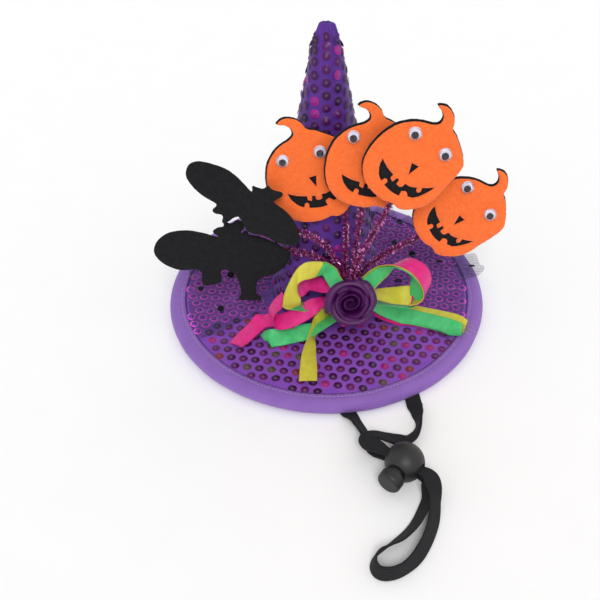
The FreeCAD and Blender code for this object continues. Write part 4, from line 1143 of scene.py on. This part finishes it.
feltShapes = {
    "pumpkin": [(-7.7, 26.8), (-4.3, 25.7), (-2, 23.8), (-1.5, 20.9), (-3.8, 18.6), (-8.1, 16.8),
                (-11.9, 14.4), (-16, 9.8), (-17.9, 5.8), (-19.2, 1), (-19.6, -4.9), (-19, -10.1),
                (-17.5, -14.6), (-14.9, -18.3), (-11.3, -21.4), (-6.3, -23.4), (-1.9, -24.2),
                (1.5, -24.3), (4.2, -23.7), (6.9, -22.9), (10.3, -23.5), (13.7, -22), (17, -18.9),
                (20.1, -14.4), (21.4, -8.7), (21.3, -2.9), (21.6, 4.1), (20.9, 10.9), (18.2, 14.4),
                (13.6, 17.7), (8.7, 20.6), (5, 22.1), (3.3, 25.2), (0.7, 27.5), (-2.6, 28.7),
                (-5.2, 28.5)],
    "mouth": [(-11.1, -10.1), (-10.2, -12.1), (-8.2, -14.9), (-6.6, -16.2), (-5, -17), (-4.3, -15),
              (-3.3, -14.8), (-2.4, -15.6), (-2.6, -17.9), (0.9, -18.5), (4, -18.6), (6.7, -18.1),
              (6.1, -15.5), (7.7, -14.4), (8.8, -14.7), (10.2, -16), (12.7, -15), (14.4, -13),
              (15.7, -10.3), (16.9, -7.2), (17.6, -4.3), (14.3, -7.1), (12.7, -8.1), (13.4, -10.3),
              (12.6, -11.5), (11.3, -10.9), (10.9, -9.4), (9.1, -10.5), (7.4, -11.2), (5, -11.3),
              (4.7, -13.6), (3.5, -14.2), (1.8, -13.9), (1.6, -11.6), (-0.1, -11.3), (-0.3, -13.1),
              (-0.7, -14.1), (-2.4, -13.2), (-2.4, -11), (-4.3, -10.6), (-6.7, -10), (-9.4, -8.8),
              (-11.6, -7.6)],
    "nose": [(0.5, -1.3), (4.6, -0.8), (3.3, -7.2)],
    "upperBat": [(-33.7, 2), (-34.6, 7.2), (-31.6, 11.1), (-25.7, 13.1), (-19.1, 14.1), (-13.4, 13.4),
                 (-8.3, 11.7), (-2.3, 9.5), (-3.4, 12.4), (-1.3, 12.9), (1.8, 13.7), (3.2, 16.3),
                 (5.9, 15.3), (10.3, 16.4), (11.8, 14.8), (10, 11.6), (9.3, 9.8), (15.9, 8.6),
                 (21.9, 6.4), (27.2, 2.3), (31.1, -3.3), (25.8, -8.5), (14.5, -9.3), (6.6, -11),
                 (0.9, -7.2), (-2.4, -6.2), (-5.3, -11.8), (-7.3, -12.6), (-8.7, -9.1), (-12.4, -9.9),
                 (-14.4, -8.9), (-13.8, -6.4), (-14.7, -4.8), (-22.9, -3.9), (-29.7, -1.3)],
    "lowerBat": [(-36.3, -1.1), (-34.4, 5.4), (-27.9, 10.7), (-18.7, 12.2), (-10.6, 10.7), (-2.5, 8.4),
                 (-5.2, 11.3), (-3, 13.6), (.5, 14.6), (.8, 17.2), (4.5, 16.2), (7.8, 18.2),
                 (11.5, 16), (10.2, 12.6), (9.5, 10.5), (19, 8.5), (27.2, 4.2), (33, 0), (34, -3),
                 (30, -10.1), (23.5, -14.7), (19.1, -16), (15.9, -19.3), (15.4, -26.4), (18, -30),
                 (11.6, -30.4), (5.6, -29.7), (7.2, -25.2), (5.1, -14.7), (.8, -11.5), (-2.5, -12.1),
                 (-3, -18.7), (-6.8, -20.3), (-11.7, -21.2), (-13.3, -18.3), (-12.8, -14.1),
                 (-15.5, -11.1), (-24.1, -11.5), (-32.2, -7.6)],
}
# number, layer, across, up, tilt, and how much wider and taller it was cut
charms = [(1, 0, -19.5, 63.0, -12, 1.03, 1.06), (2, 1, 9.6, 74.0, 6, 1, 1), (3, 2, 29.8, 78.4, 37, 1, 1),
          (4, 0, 57.2, 42.4, 50, 1, 1)]
# name, CAD node, layer, across, up, tilt and the seed of its ripples
bats = [("upperBat", "bat_upper", 1, -48.9, 48.2, 30, 7), ("lowerBat", "bat_lower", 0, -62.5, 19.6, 0, 8)]
plate = {"thickness": 1.0, "round": 0.28, "rough": 0.16, "step": 1.3, "cutStep": 0.9, "fill": 2.4,
         "curl": 0.35, "backGap": 1.6, "frontGap": 2.65}


def evenly(outline, step, smooth=5):
    # an outline resampled to even steps; corners sharper than a curve stay as they are
    line = passing([(x, y, 0) for x, y in outline], smooth, True) if smooth else [
        Vector((x, y, 0)) for x, y in outline]
    spaced = []
    for a, b in zip(line, line[1:] + line[:1]):
        pieces = max(1, int((b - a).length / step + 0.5))
        spaced += [a.lerp(b, i / pieces) for i in range(pieces)]
    kept = [spaced[0]]
    for p in spaced[1:]:
        if (p - kept[-1]).length > step * 0.55:
            kept.append(p)
    return [p.xy for p in kept]


def inward(line, amount):
    area = sum(a.x * b.y - b.x * a.y for a, b in zip(line, line[1:] + line[:1]))
    side = 1 if area > 0 else -1
    moved = []
    for i, p in enumerate(line):
        along = (line[(i + 1) % len(line)] - line[i - 1]).normalized()
        moved.append(p + Vector((-along.y, along.x)) * side * amount)
    return moved


def insideOf(p, line):
    hits = False
    for a, b in zip(line, line[1:] + line[:1]):
        if (a.y > p.y) != (b.y > p.y) and p.x < (b.x - a.x) * (p.y - a.y) / (b.y - a.y) + a.x:
            hits = not hits
    return hits


def feltPlate(name, outline, holes, low, place, body, slot, finish, stands, seed):
    rim = evenly(outline, plate["step"])
    cuts = [evenly(h, plate["cutStep"], 0) for h in holes]
    edge = [p + Vector((noise.noise(Vector((p.x, p.y, seed))),
                        noise.noise(Vector((p.y, p.x, seed + 3))))) * plate["rough"] for p in rim]
    loops = [(edge, inward(edge, plate["round"]))] + [(c, inward(c, -plate["round"] * 0.7)) for c in cuts]
    flat, edges = [], []
    for _, inner in loops:
        edges += [(len(flat) + i, len(flat) + (i + 1) % len(inner)) for i in range(len(inner))]
        flat += inner
    step = plate["fill"]
    xs = [p.x for p in edge]
    ys = [p.y for p in edge]
    deeper = inward(edge, 1.2)
    for i in range(int((max(xs) - min(xs)) / step) + 1):
        for j in range(int((max(ys) - min(ys)) / step) + 1):
            p = Vector((min(xs) + (i + 0.5 * (j % 2)) * step, min(ys) + j * step))
            if insideOf(p, deeper) and all(
                    min((p - q).length for q in c) > 1.1 and not insideOf(p, c) for c in cuts):
                flat.append(p)
    made, _, triangles, *_ = delaunay_2d_cdt(flat, edges, [list(range(len(loops[0][1])))], 1, 1e-6)
    innerCuts = [pair[1] for pair in loops[1:]]
    kept = []
    for t in triangles:
        middle = sum((made[i] for i in t), Vector((0, 0))) / len(t)
        if not any(insideOf(middle, c) for c in innerCuts):
            kept.append(tuple(t))

    def curl(x, y):
        return plate["curl"] * (noise.noise(Vector((x / 16, y / 16, seed * 0.37))) + 0.1)

    high = low + plate["thickness"]
    points = [place @ Vector((p.x, p.y, high + curl(p.x, p.y))) for p in made]
    points += [place @ Vector((p.x, p.y, low + curl(p.x, p.y))) for p in made]
    shift = len(made)
    faces = kept + [tuple(reversed([i + shift for i in t])) for t in kept]
    links = dict.fromkeys(pair for t in kept for pair in zip(t, t[1:] + t[:1]))
    borders = [(a, b) for a, b in links if (b, a) not in links]
    # each border corner gets two more corners outside it, so the cut edge is rounded
    outerOf = {}
    for a in {i for pair in borders for i in pair}:
        ins = [made[x] for x, y in borders if y == a]
        outs = [made[y] for x, y in borders if x == a]
        along = (outs[0] - ins[0]).normalized() if ins and outs else Vector((1, 0))
        p = made[a] + Vector((along.y, -along.x)) * plate["round"]
        outerOf[a] = (len(points), len(points) + 1)
        points.append(place @ Vector((p.x, p.y, high - plate["round"] + curl(p.x, p.y))))
        points.append(place @ Vector((p.x, p.y, low + plate["round"] + curl(p.x, p.y))))
    for a, b in borders:
        (ah, al), (bh, bl) = outerOf[a], outerOf[b]
        faces += [(b, a, ah, bh), (bh, ah, al, bl), (bl, al, a + shift, b + shift)]
    mesh = meshFrom(name, points, faces)
    mesh.set_sharp_from_angle(angle=radians(75))
    return addPiece(name, mesh, body, slot, finish, stands)


def inFan(layerNumber, across, up, tilt):
    # where a charm lies in the fan; tilt turns it clockwise
    return (fanPlace @ Matrix.Translation((across, up, layerNumber * fan["layer"]))
            @ Matrix.Rotation(radians(-tilt), 4, "Z"))


def makeCharms():
    for number, layerNumber, across, up, tilt, wider, taller in charms:
        place = inFan(layerNumber, across, up, tilt)
        body = "pumpkin_charm_%d" % number
        front = [(x * wider, y * taller) for x, y in feltShapes["pumpkin"]]
        grown = [tuple(p + Vector((-0.5, 0.3))) for p in inward([Vector(q) for q in front], -0.3)]
        feltPlate("pumpkinBacking%d" % number, grown, [], plate["backGap"], place, body, "black_felt",
                  blackFelt, ("pumpkin_backing_%d" % number,), number)
        feltPlate("pumpkinFront%d" % number, front, [feltShapes["mouth"], feltShapes["nose"]],
                  plate["frontGap"], place, body, "orange_felt", orangeFelt,
                  ("pumpkin_front_%d" % number,), number)
        polished("eye_backs_%d" % number, "eyeBacks%d" % number, "eye_white", eyeCard)
        polished("eye_domes_%d" % number, "eyeDomes%d" % number, "eye_clear", eyeWindow)
        for side in ("left", "right"):
            polished("pupil_%d_%s" % (number, side), "pupil%d%s" % (number, side.title()), "eye_black",
                     pupilPlastic)
    for name, node, layerNumber, across, up, tilt, seed in bats:
        feltPlate(name, feltShapes[name], [], plate["backGap"], inFan(layerNumber, across, up, tilt),
                  node + "_charm", "black_felt", blackFelt, (node,), seed)


makeCharms()
print("felt charms are cut")


# ribbons

# each ribbon is a ladder of its two edges
ribbonLines = {
    "rightLoop": [
        ((15.9, -38.3, 44.1), (23.2, -40.1, 38.3)), ((20.1, -37.6, 49.2), (25.6, -37.6, 41.4)),
        ((25.2, -36.4, 53.1), (29.1, -35.8, 44.6)), ((29.7, -37.1, 55.2), (32.7, -33.4, 47.0)),
        ((33.5, -38.4, 56.5), (35.4, -31.5, 50.3)), ((36.5, -39.5, 56.5), (39.2, -30.9, 52.9)),
        ((39.6, -40.2, 55.5), (43.4, -31.2, 54.7)), ((42.9, -40.3, 53.1), (48.9, -32.6, 53.2)),
        ((45.5, -41.3, 50.6), (52.6, -34.5, 49.7)), ((47.9, -43.2, 47.4), (53.7, -35.8, 44.1)),
        ((49.5, -44.7, 43.4), (51.9, -36.7, 38.5)), ((48.6, -45.1, 38.6), (49.2, -36.4, 35.0)),
        ((43.7, -44.6, 35.4), (46.5, -35.5, 34.2)), ((42.5, -42.3, 33.5), (44.0, -36.1, 40.4)),
        ((34.3, -42.9, 35.5), (35.5, -33.8, 38.0)), ((25.9, -41.9, 37.6), (27.8, -32.7, 36.1)),
        ((20.0, -41.2, 37.2), (23.2, -32.5, 34.8)),],
    "rightLoopGreen": [
        ((15.9, -38.9, 44.1), (23.2, -40.7, 38.3)), ((20.3, -38.7, 49.8), (25.3, -37.6, 41.8)),
        ((25.1, -37.4, 53.5), (28.9, -35.8, 45.0)), ((29.7, -38.0, 55.4), (32.4, -33.6, 47.5)),
        ((33.4, -39.0, 56.5), (35.4, -32.1, 50.3)), ((36.5, -39.9, 56.2), (38.5, -32.2, 50.8)),
        ((39.7, -40.3, 55.0), (41.7, -33.0, 49.2)), ((42.9, -40.9, 52.8), (43.8, -33.8, 46.6)),
        ((45.3, -41.6, 50.5), (43.8, -34.9, 44.4)), ((48.1, -42.8, 46.3), (43.8, -36.8, 41.2)),
        ((50.5, -42.5, 39.9), (43.9, -38.9, 35.1)), ((47.8, -43.8, 35.0), (44.2, -37.8, 29.2)),
        ((42.4, -44.2, 32.3), (39.9, -35.7, 30.0)), ((30.4, -42.8, 33.3), (31.0, -34.1, 29.7)),
        ((22.5, -41.9, 32.9), (24.6, -33.1, 29.9)),],
    "rightTailGreen": [
        ((17.5, -28.7, 24.8), (19.7, -37.7, 25.3)), ((22.9, -25.9, 21.4), (23.5, -35.1, 22.6)),
        ((29.6, -23.4, 18.3), (29.7, -32.4, 15.8)), ((36.5, -22.3, 15.0), (36.3, -30.5, 10.6)),
        ((45.8, -24.1, 13.7), (45.4, -30.4, 6.7)), ((55.7, -27.0, 13.3), (54.9, -33.3, 6.3)),
        ((64.7, -30.4, 13.3), (63.9, -36.7, 6.3)), ((71.4, -32.1, 11.7), (69.4, -40.7, 8.7)),
        ((74.5, -32.9, 10.0), (72.7, -42.1, 10.1)),],
    "rightTailYellow": [
        ((17.6, -26.0, 24.0), (19.8, -35.0, 24.4)), ((23.6, -23.0, 20.8), (23.7, -32.3, 21.7)),
        ((29.8, -20.5, 17.1), (29.8, -29.6, 14.9)), ((37.6, -19.4, 13.4), (36.9, -28.1, 10.0)),
        ((47.1, -19.7, 12.6), (46.2, -25.9, 5.6)), ((57.9, -22.2, 12.3), (56.7, -28.5, 5.3)),
        ((67.8, -25.3, 12.3), (65.8, -31.5, 5.5)), ((74.0, -27.3, 11.6), (71.9, -35.2, 6.9)),
        ((78.0, -29.3, 9.4), (74.7, -38.2, 8.7)),],
    "rightTailPink": [
        ((17.5, -28.2, 23.2), (19.7, -37.2, 23.6)), ((23.1, -25.7, 19.8), (23.4, -34.9, 21.0)),
        ((29.7, -23.5, 16.1), (29.5, -32.7, 14.3)), ((37.5, -22.6, 12.2), (36.3, -31.5, 9.5)),
        ((46.9, -23.2, 10.6), (45.8, -31.2, 6.0)), ((55.2, -25.8, 10.7), (54.1, -33.5, 5.5)),
        ((61.0, -27.8, 10.6), (59.8, -35.5, 5.5)), ((66.3, -29.4, 10.1), (65.0, -37.7, 5.9)),],
    "leftTailYellow": [
        ((0.9, -33.8, 28.0), (4.2, -30.0, 20.0)), ((-2.4, -35.4, 24.5), (1.7, -32.4, 16.5)),
        ((-6.5, -37.5, 20.5), (-0.4, -35.8, 13.5)), ((-8.3, -42.6, 17.7), (-4.1, -38.7, 10.2)),
        ((-9.5, -47.3, 15.5), (-6.4, -41.7, 8.5)), ((-11.9, -52.4, 12.5), (-6.0, -46.3, 8.7)),
        ((-13.2, -58.4, 11.8), (-5.6, -54.4, 8.2)), ((-13.8, -66.2, 10.7), (-4.9, -63.8, 8.7)),
        ((-14.1, -74.7, 10.0), (-4.8, -73.9, 9.2)),],
    "leftTailGreen": [
        ((4.2, -34.6, 20.9), (5.7, -43.5, 23.1)), ((-0.4, -35.1, 16.9), (0.5, -44.1, 19.2)),
        ((-8.2, -38.4, 16.5), (-9.6, -46.6, 12.5)), ((-14.8, -39.0, 15.7), (-15.1, -46.3, 9.9)),
        ((-21.4, -40.1, 14.2), (-21.6, -48.3, 9.8)), ((-27.2, -41.8, 15.3), (-27.4, -48.1, 8.3)),
        ((-30.4, -41.3, 14.5), (-29.3, -47.9, 7.9)), ((-33.6, -38.1, 10.0), (-31.5, -47.1, 11.3)),
        ((-35.8, -39.1, 8.0), (-33.5, -47.1, 12.4)),],
    "leftArmPink": [
        ((2.5, -33.9, 31.9), (3.3, -43.2, 32.2)), ((-1.6, -31.2, 28.9), (-0.7, -40.3, 31.1)),
        ((-8.8, -34.6, 30.4), (-6.9, -40.7, 23.6)), ((-15.4, -36.5, 26.5), (-13.7, -44.2, 21.5)),
        ((-22.0, -37.0, 23.2), (-19.4, -45.0, 18.9)), ((-27.1, -36.4, 20.3), (-24.4, -45.0, 17.7)),
        ((-29.8, -36.0, 19.6), (-27.1, -45.0, 19.4)), ((-31.0, -34.2, 22.5), (-27.8, -42.6, 25.6)),
        ((-28.3, -30.4, 26.0), (-24.2, -38.9, 27.3)), ((-23.8, -29.8, 31.4), (-20.7, -38.7, 32.5)),],
    "leftBackPink": [
        ((-20.8, -29.2, 31.5), (-16.3, -37.6, 32.1)), ((-16.6, -29.2, 38.9), (-11.4, -34.4, 33.1)),
        ((-10.5, -26.8, 39.5), (-8.6, -36.0, 38.0)), ((-4.1, -27.5, 39.6), (-2.8, -36.5, 36.8)),
        ((2.2, -28.7, 38.9), (2.2, -38.2, 38.3)),],
    "leftTailPink": [
        ((-19.1, -32.4, 16.6), (-16.8, -41.4, 15.4)), ((-25.0, -31.1, 15.9), (-23.0, -40.1, 14.1)),
        ((-31.0, -28.9, 15.0), (-28.5, -37.7, 13.0)), ((-34.4, -29.1, 13.9), (-33.1, -38.3, 13.3)),
        ((-38.5, -29.8, 14.7), (-34.0, -37.4, 11.3)), ((-43.0, -34.0, 11.2), (-37.7, -42.0, 10.8)),
        ((-47.7, -39.4, 10.1), (-41.8, -47.0, 10.0)), ((-52.1, -45.1, 8.1), (-45.1, -51.2, 11.1)),],
    "leftLoop": [
        ((10.4, -39.9, 45.3), (4.7, -40.3, 38.0)), ((7.1, -38.4, 48.6), (2.0, -36.9, 41.0)),
        ((5.2, -36.2, 51.9), (-0.3, -35.1, 44.5)), ((3.0, -35.9, 54.2), (-1.9, -33.8, 46.6)),
        ((-0.3, -35.4, 56.2), (-4.2, -35.9, 47.8)), ((-5.3, -34.1, 55.9), (-8.3, -40.0, 49.3)),
        ((-10.3, -35.9, 56.8), (-12.0, -42.1, 49.9)), ((-13.0, -37.5, 55.9), (-14.3, -43.7, 48.9)),
        ((-16.1, -39.6, 53.1), (-14.6, -43.8, 44.9)), ((-19.0, -42.2, 48.9), (-14.3, -42.8, 41.0)),
        ((-21.6, -43.2, 42.2), (-13.3, -42.7, 38.1)), ((-22.6, -43.1, 35.5), (-13.2, -42.8, 36.0)),
        ((-22.4, -42.5, 31.8), (-13.3, -40.5, 32.0)), ((-17.8, -41.8, 29.2), (-11.3, -35.2, 28.6)),
        ((-10.3, -39.0, 25.8), (-7.5, -30.0, 25.7)), ((-1.1, -37.8, 26.6), (-0.3, -28.5, 26.1)),],
}
ribbon = {"thickness": 0.32, "across": 6, "crown": 0.22, "lift": 0.9}


satins = {"yellow": yellowSatin, "green": greenSatin, "pink": pinkSatin}


def ribbonStrip(name, colour, key, offset=0.0, around=None, stands=(), grow=0.0):
    rungs = ribbonLines[key]
    left = passing([r[0] for r in rungs], 7)
    right = passing([r[1] for r in rungs], 7)
    centre = Vector(around) if around else None
    front, back, marks = [], [], []
    run = 0.0
    for i, (a, b) in enumerate(zip(left, right)):
        k, n = max(i - 1, 0), min(i + 1, len(left) - 1)
        along = (left[n] + right[n] - left[k] - right[k]).normalized()
        up = along.cross(b - a).normalized()
        middle = (a + b) / 2
        away = up.dot(middle - centre) if centre else up.z
        if away < 0:
            up = -up
        if i:
            run += (middle - lastMiddle).length
        lastMiddle = middle
        row, under = [], []
        for j in range(ribbon["across"] + 1):
            t = j / ribbon["across"]
            p = a.lerp(b, between(-grow, 1 + grow, t))
            bulge = ribbon["crown"] * (4 * t * (1 - t) - 0.5)
            p = p + up * (offset + bulge + 0.12 * sin(run / 5.0 + 2 * t))
            ground = clothHeight(p.x, p.y) + 0.45 if hypot(p.x, p.y) < 82 else 7.6
            if p.z < ground + max(0.0, offset):
                p.z = ground + max(0.0, offset)
            row.append(p + up * ribbon["thickness"] / 2)
            under.append(p - up * ribbon["thickness"] / 2)
        front.append(row)
        back.append(under)
        marks.append(run)
    points, faces, uvs = slab(front, back, lambda i, j: (j / ribbon["across"], marks[i]))
    mesh = meshFrom(name, points, faces, uvs)
    mesh.set_sharp_from_angle(angle=radians(70))
    addPiece(name, mesh, "hat", "ribbon_" + colour, satins[colour], stands)


leftMiddle, rightMiddle = (-4, -37, 43), (34, -38, 44)  # what the two loops wrap round
ribbonStrip("leftLoopYellow", "yellow", "leftLoop", 0.5, leftMiddle, ("ribbon_yellow",))
ribbonStrip("leftLoopGreen", "green", "leftLoop", -0.05, leftMiddle, ("ribbon_green",))
ribbonStrip("leftArmPink", "pink", "leftArmPink", stands=("ribbon_pink",))
ribbonStrip("leftBackPink", "pink", "leftBackPink")
ribbonStrip("leftTailPink", "pink", "leftTailPink")
ribbonStrip("leftTailGreen", "green", "leftTailGreen")
ribbonStrip("leftTailYellow", "yellow", "leftTailYellow", 0.3)
ribbonStrip("rightLoopPink", "pink", "rightLoop", 0.95, rightMiddle)
ribbonStrip("rightLoopYellow", "yellow", "rightLoop", 0.5, rightMiddle, grow=0.04)
ribbonStrip("rightLoopGreen", "green", "rightLoopGreen", 0.0, rightMiddle)
ribbonStrip("rightTailPink", "pink", "rightTailPink")
ribbonStrip("rightTailYellow", "yellow", "rightTailYellow", 0.35)
ribbonStrip("rightTailGreen", "green", "rightTailGreen", 0.8)


def frayed(name, key, colour, count, reach):
    # loose warp threads at a cut end
    a, b = (Vector(p) for p in ribbonLines[key][-1])
    c, d = (Vector(p) for p in ribbonLines[key][-2])
    ahead = (a + b - c - d).normalized()
    points, faces = [], []
    for n in range(count):
        t = (n + chance.uniform(0.1, 0.9)) / count
        p = a.lerp(b, t)
        p.z += 0.5
        bend = Vector([chance.uniform(-0.6, 0.6) for _ in range(3)])
        size = chance.uniform(0.4, 1.0) * reach
        start = len(points)
        for k in range(6):
            s = k / 5
            q = p + ahead * size * s + bend * size * s * s * 0.8
            q.z = max(q.z, 7.4)
            for m in range(3):
                turn = 2.1 * m
                ring = Vector((0.09 * cos(turn), 0.09 * sin(turn) * 0.5, 0.09 * sin(turn)))
                points.append(q + ring * (1.1 - 0.7 * s))
        for k in range(5):
            for m in range(3):
                u, v = start + k * 3 + m, start + k * 3 + (m + 1) % 3
                faces.append((u, v, v + 3, u + 3))
        faces += [(start, start + 1, start + 2), (start + 17, start + 16, start + 15)]
    addPiece(name, meshFrom(name, points, faces), "hat", "ribbon_" + colour, satins[colour])


frayed("rightFrayYellow", "rightTailYellow", "yellow", 9, 5.5)
frayed("rightFrayGreen", "rightTailGreen", "green", 9, 3.0)
frayed("leftFrayPink", "leftTailPink", "pink", 6, 1.6)
frayed("leftFrayYellow", "leftTailYellow", "yellow", 5, 1.4)

knot = {"rows": 22, "around": 40, "left": -2, "width": 10, "up": -17, "deep": 7.8, "halfUp": 5.4,
        "halfDeep": 5.6}


def makeKnot():
    # the wrap that pinches the ribbons together behind the rose
    points, uvs = [], []
    rows, around = knot["rows"], knot["around"]
    for i in range(rows + 1):
        s = i / rows
        x = knot["left"] + knot["width"] * s
        pinch = 1 - 0.1 * sin(pi * s) + 0.03 * sin(14 * s)
        if i in (0, rows):
            pinch *= 0.9
        for j in range(around):
            a = 2 * pi * j / around
            c, d = cos(a), sin(a)
            shape = (abs(c) ** 3 + abs(d) ** 3) ** (-1 / 3)
            points.append(fanPlace @ Vector((x, knot["up"] + knot["halfUp"] * d * shape * pinch,
                                             knot["deep"] + knot["halfDeep"] * c * shape * pinch)))
            uvs.append((s, a * 5.5))
    mesh = meshFrom("bowKnot", points, tubeFaces(rows, around), uvs)
    mesh.set_sharp_from_angle(angle=radians(55))
    addPiece("bowKnot", mesh, "hat", "ribbon_pink", pinkSatin, ("bow_knot",))


makeKnot()
print("ribbons are tied")


# rose

rose = {"place": (12.7, -47.0, 38.4), "turn": 48.0, "thickness": 0.55, "along": 26, "up": 12,
        "coilTurns": 1.55, "coilAlong": 90, "coilUp": 8, "coilThickness": 0.6}
rosePlace = Matrix.Translation(rose["place"]) @ Matrix.Rotation(radians(rose["turn"]), 4, "X")
# middle angle, half span, radius at the lip, spiral, lip height, lip roll, where the petal's middle lies
petals = {
    "rosePetalsOuter": [(112, 92, 11.6, 1.5, 3.2, 2.3, (0.3, 0.5)), (352, 60, 10.6, 1.3, 2.4, 2.2, (0.9, 0.4)),
                        (255, 84, 10.8, 1.6, 2.6, 1.9, (-0.2, -0.3)), (38, 34, 12.6, 0.6, 2.0, 2.4, (0, 0))],
    "rosePetalsInner": [(205, 96, 8.2, 1.5, 3.8, 1.5, (0.3, -0.3)), (60, 84, 7.6, 1.3, 4.0, 1.5, (-0.4, 0.4)),
                        (318, 80, 7.4, 1.4, 3.7, 1.4, (0.4, 0))],
}


def petalRows(middle, half, radius, spiral, lip, roll, move):
    along, high = rose["along"], rose["up"]
    front, back = [], []
    for i in range(along + 1):
        u = i / along * 2 - 1
        angle = radians(middle + half * u)
        fade = (1 - abs(u) ** 3.5)
        row = []
        for j in range(high + 1):
            v = j / high
            r = radius * (0.3 + 0.62 * v ** 0.75) + spiral * u * v + roll * soft(0.72, 1.0, v) * 0.9
            height = -4.2 + (lip + 4.2) * min(1.0, v / 0.84) ** 1.1 * (0.72 + 0.28 * fade)
            height -= roll * 0.95 * soft(0.8, 1.0, v) ** 1.3
            r += 0.45 * sin(2.6 * u + middle) * v + 0.15 * sin(8 * u + middle) * v
            height += 0.35 * sin(2.1 * u + 2 * middle) * v
            row.append(Vector((r * cos(angle) + move[0], r * sin(angle) + move[1], height)))
        front.append(row)
    for i in range(along + 1):
        under = []
        for j in range(high + 1):
            a, b = front[min(i + 1, along)][j], front[max(i - 1, 0)][j]
            c, d = front[i][min(j + 1, high)], front[i][max(j - 1, 0)]
            out = (a - b).cross(c - d).normalized()
            under.append(front[i][j] + out * rose["thickness"])
        back.append(under)
    return front, back


def makeRose():
    for name, rows in petals.items():
        points, faces, uvs = [], [], []
        for petal in rows:
            front, back = petalRows(*petal)
            p, f, u = slab(front, back, lambda i, j: (i / rose["along"], j * 0.8))
            shift = len(points)
            points += [rosePlace @ q for q in p]
            faces += [tuple(i + shift for i in face) for face in f]
            uvs += u
        mesh = meshFrom(name, points, faces, uvs)
        mesh.set_sharp_from_angle(angle=radians(80))
        node = "rose_petals_outer" if name.endswith("Outer") else "rose_petals_inner"
        addPiece(name, mesh, "hat", "rose", roseSatin, (node,))
    front, back = [], []
    thick = rose["coilThickness"]
    for i in range(rose["coilAlong"] + 1):
        t = i / rose["coilAlong"]
        a = 2 * pi * rose["coilTurns"] * t + 0.9
        row, under = [], []
        for j in range(rose["coilUp"] + 1):
            v = j / rose["coilUp"]
            r = (0.7 + 4.0 * t + 0.45 * v + 0.55 * soft(0.7, 1, v)) * (1 + 0.13 * sin(2 * a + 0.6))
            h = -4 + (8.8 - 0.7 * t + 0.35 * sin(1.7 * a)) * min(1.0, v / 0.88) - 0.5 * soft(0.85, 1.0, v)
            row.append(Vector((r * cos(a) - 0.3, r * sin(a) + 0.2, h)))
            under.append(Vector(((r + thick) * cos(a) - 0.3, (r + thick) * sin(a) + 0.2, h - 0.15)))
        front.append(row)
        back.append(under)
    points, faces, uvs = slab(front, back, lambda i, j: (i / rose["coilAlong"], j * 0.9))
    mesh = meshFrom("roseCenter", [rosePlace @ p for p in points], faces, uvs)
    mesh.set_sharp_from_angle(angle=radians(80))
    addPiece("roseCenter", mesh, "hat", "rose", roseSatin, ("rose_center",))
    polished("rose_base", "roseBase", "rose", roseCore, 0.3)


makeRose()
print("rose is rolled")

bpy.context.view_layer.update()
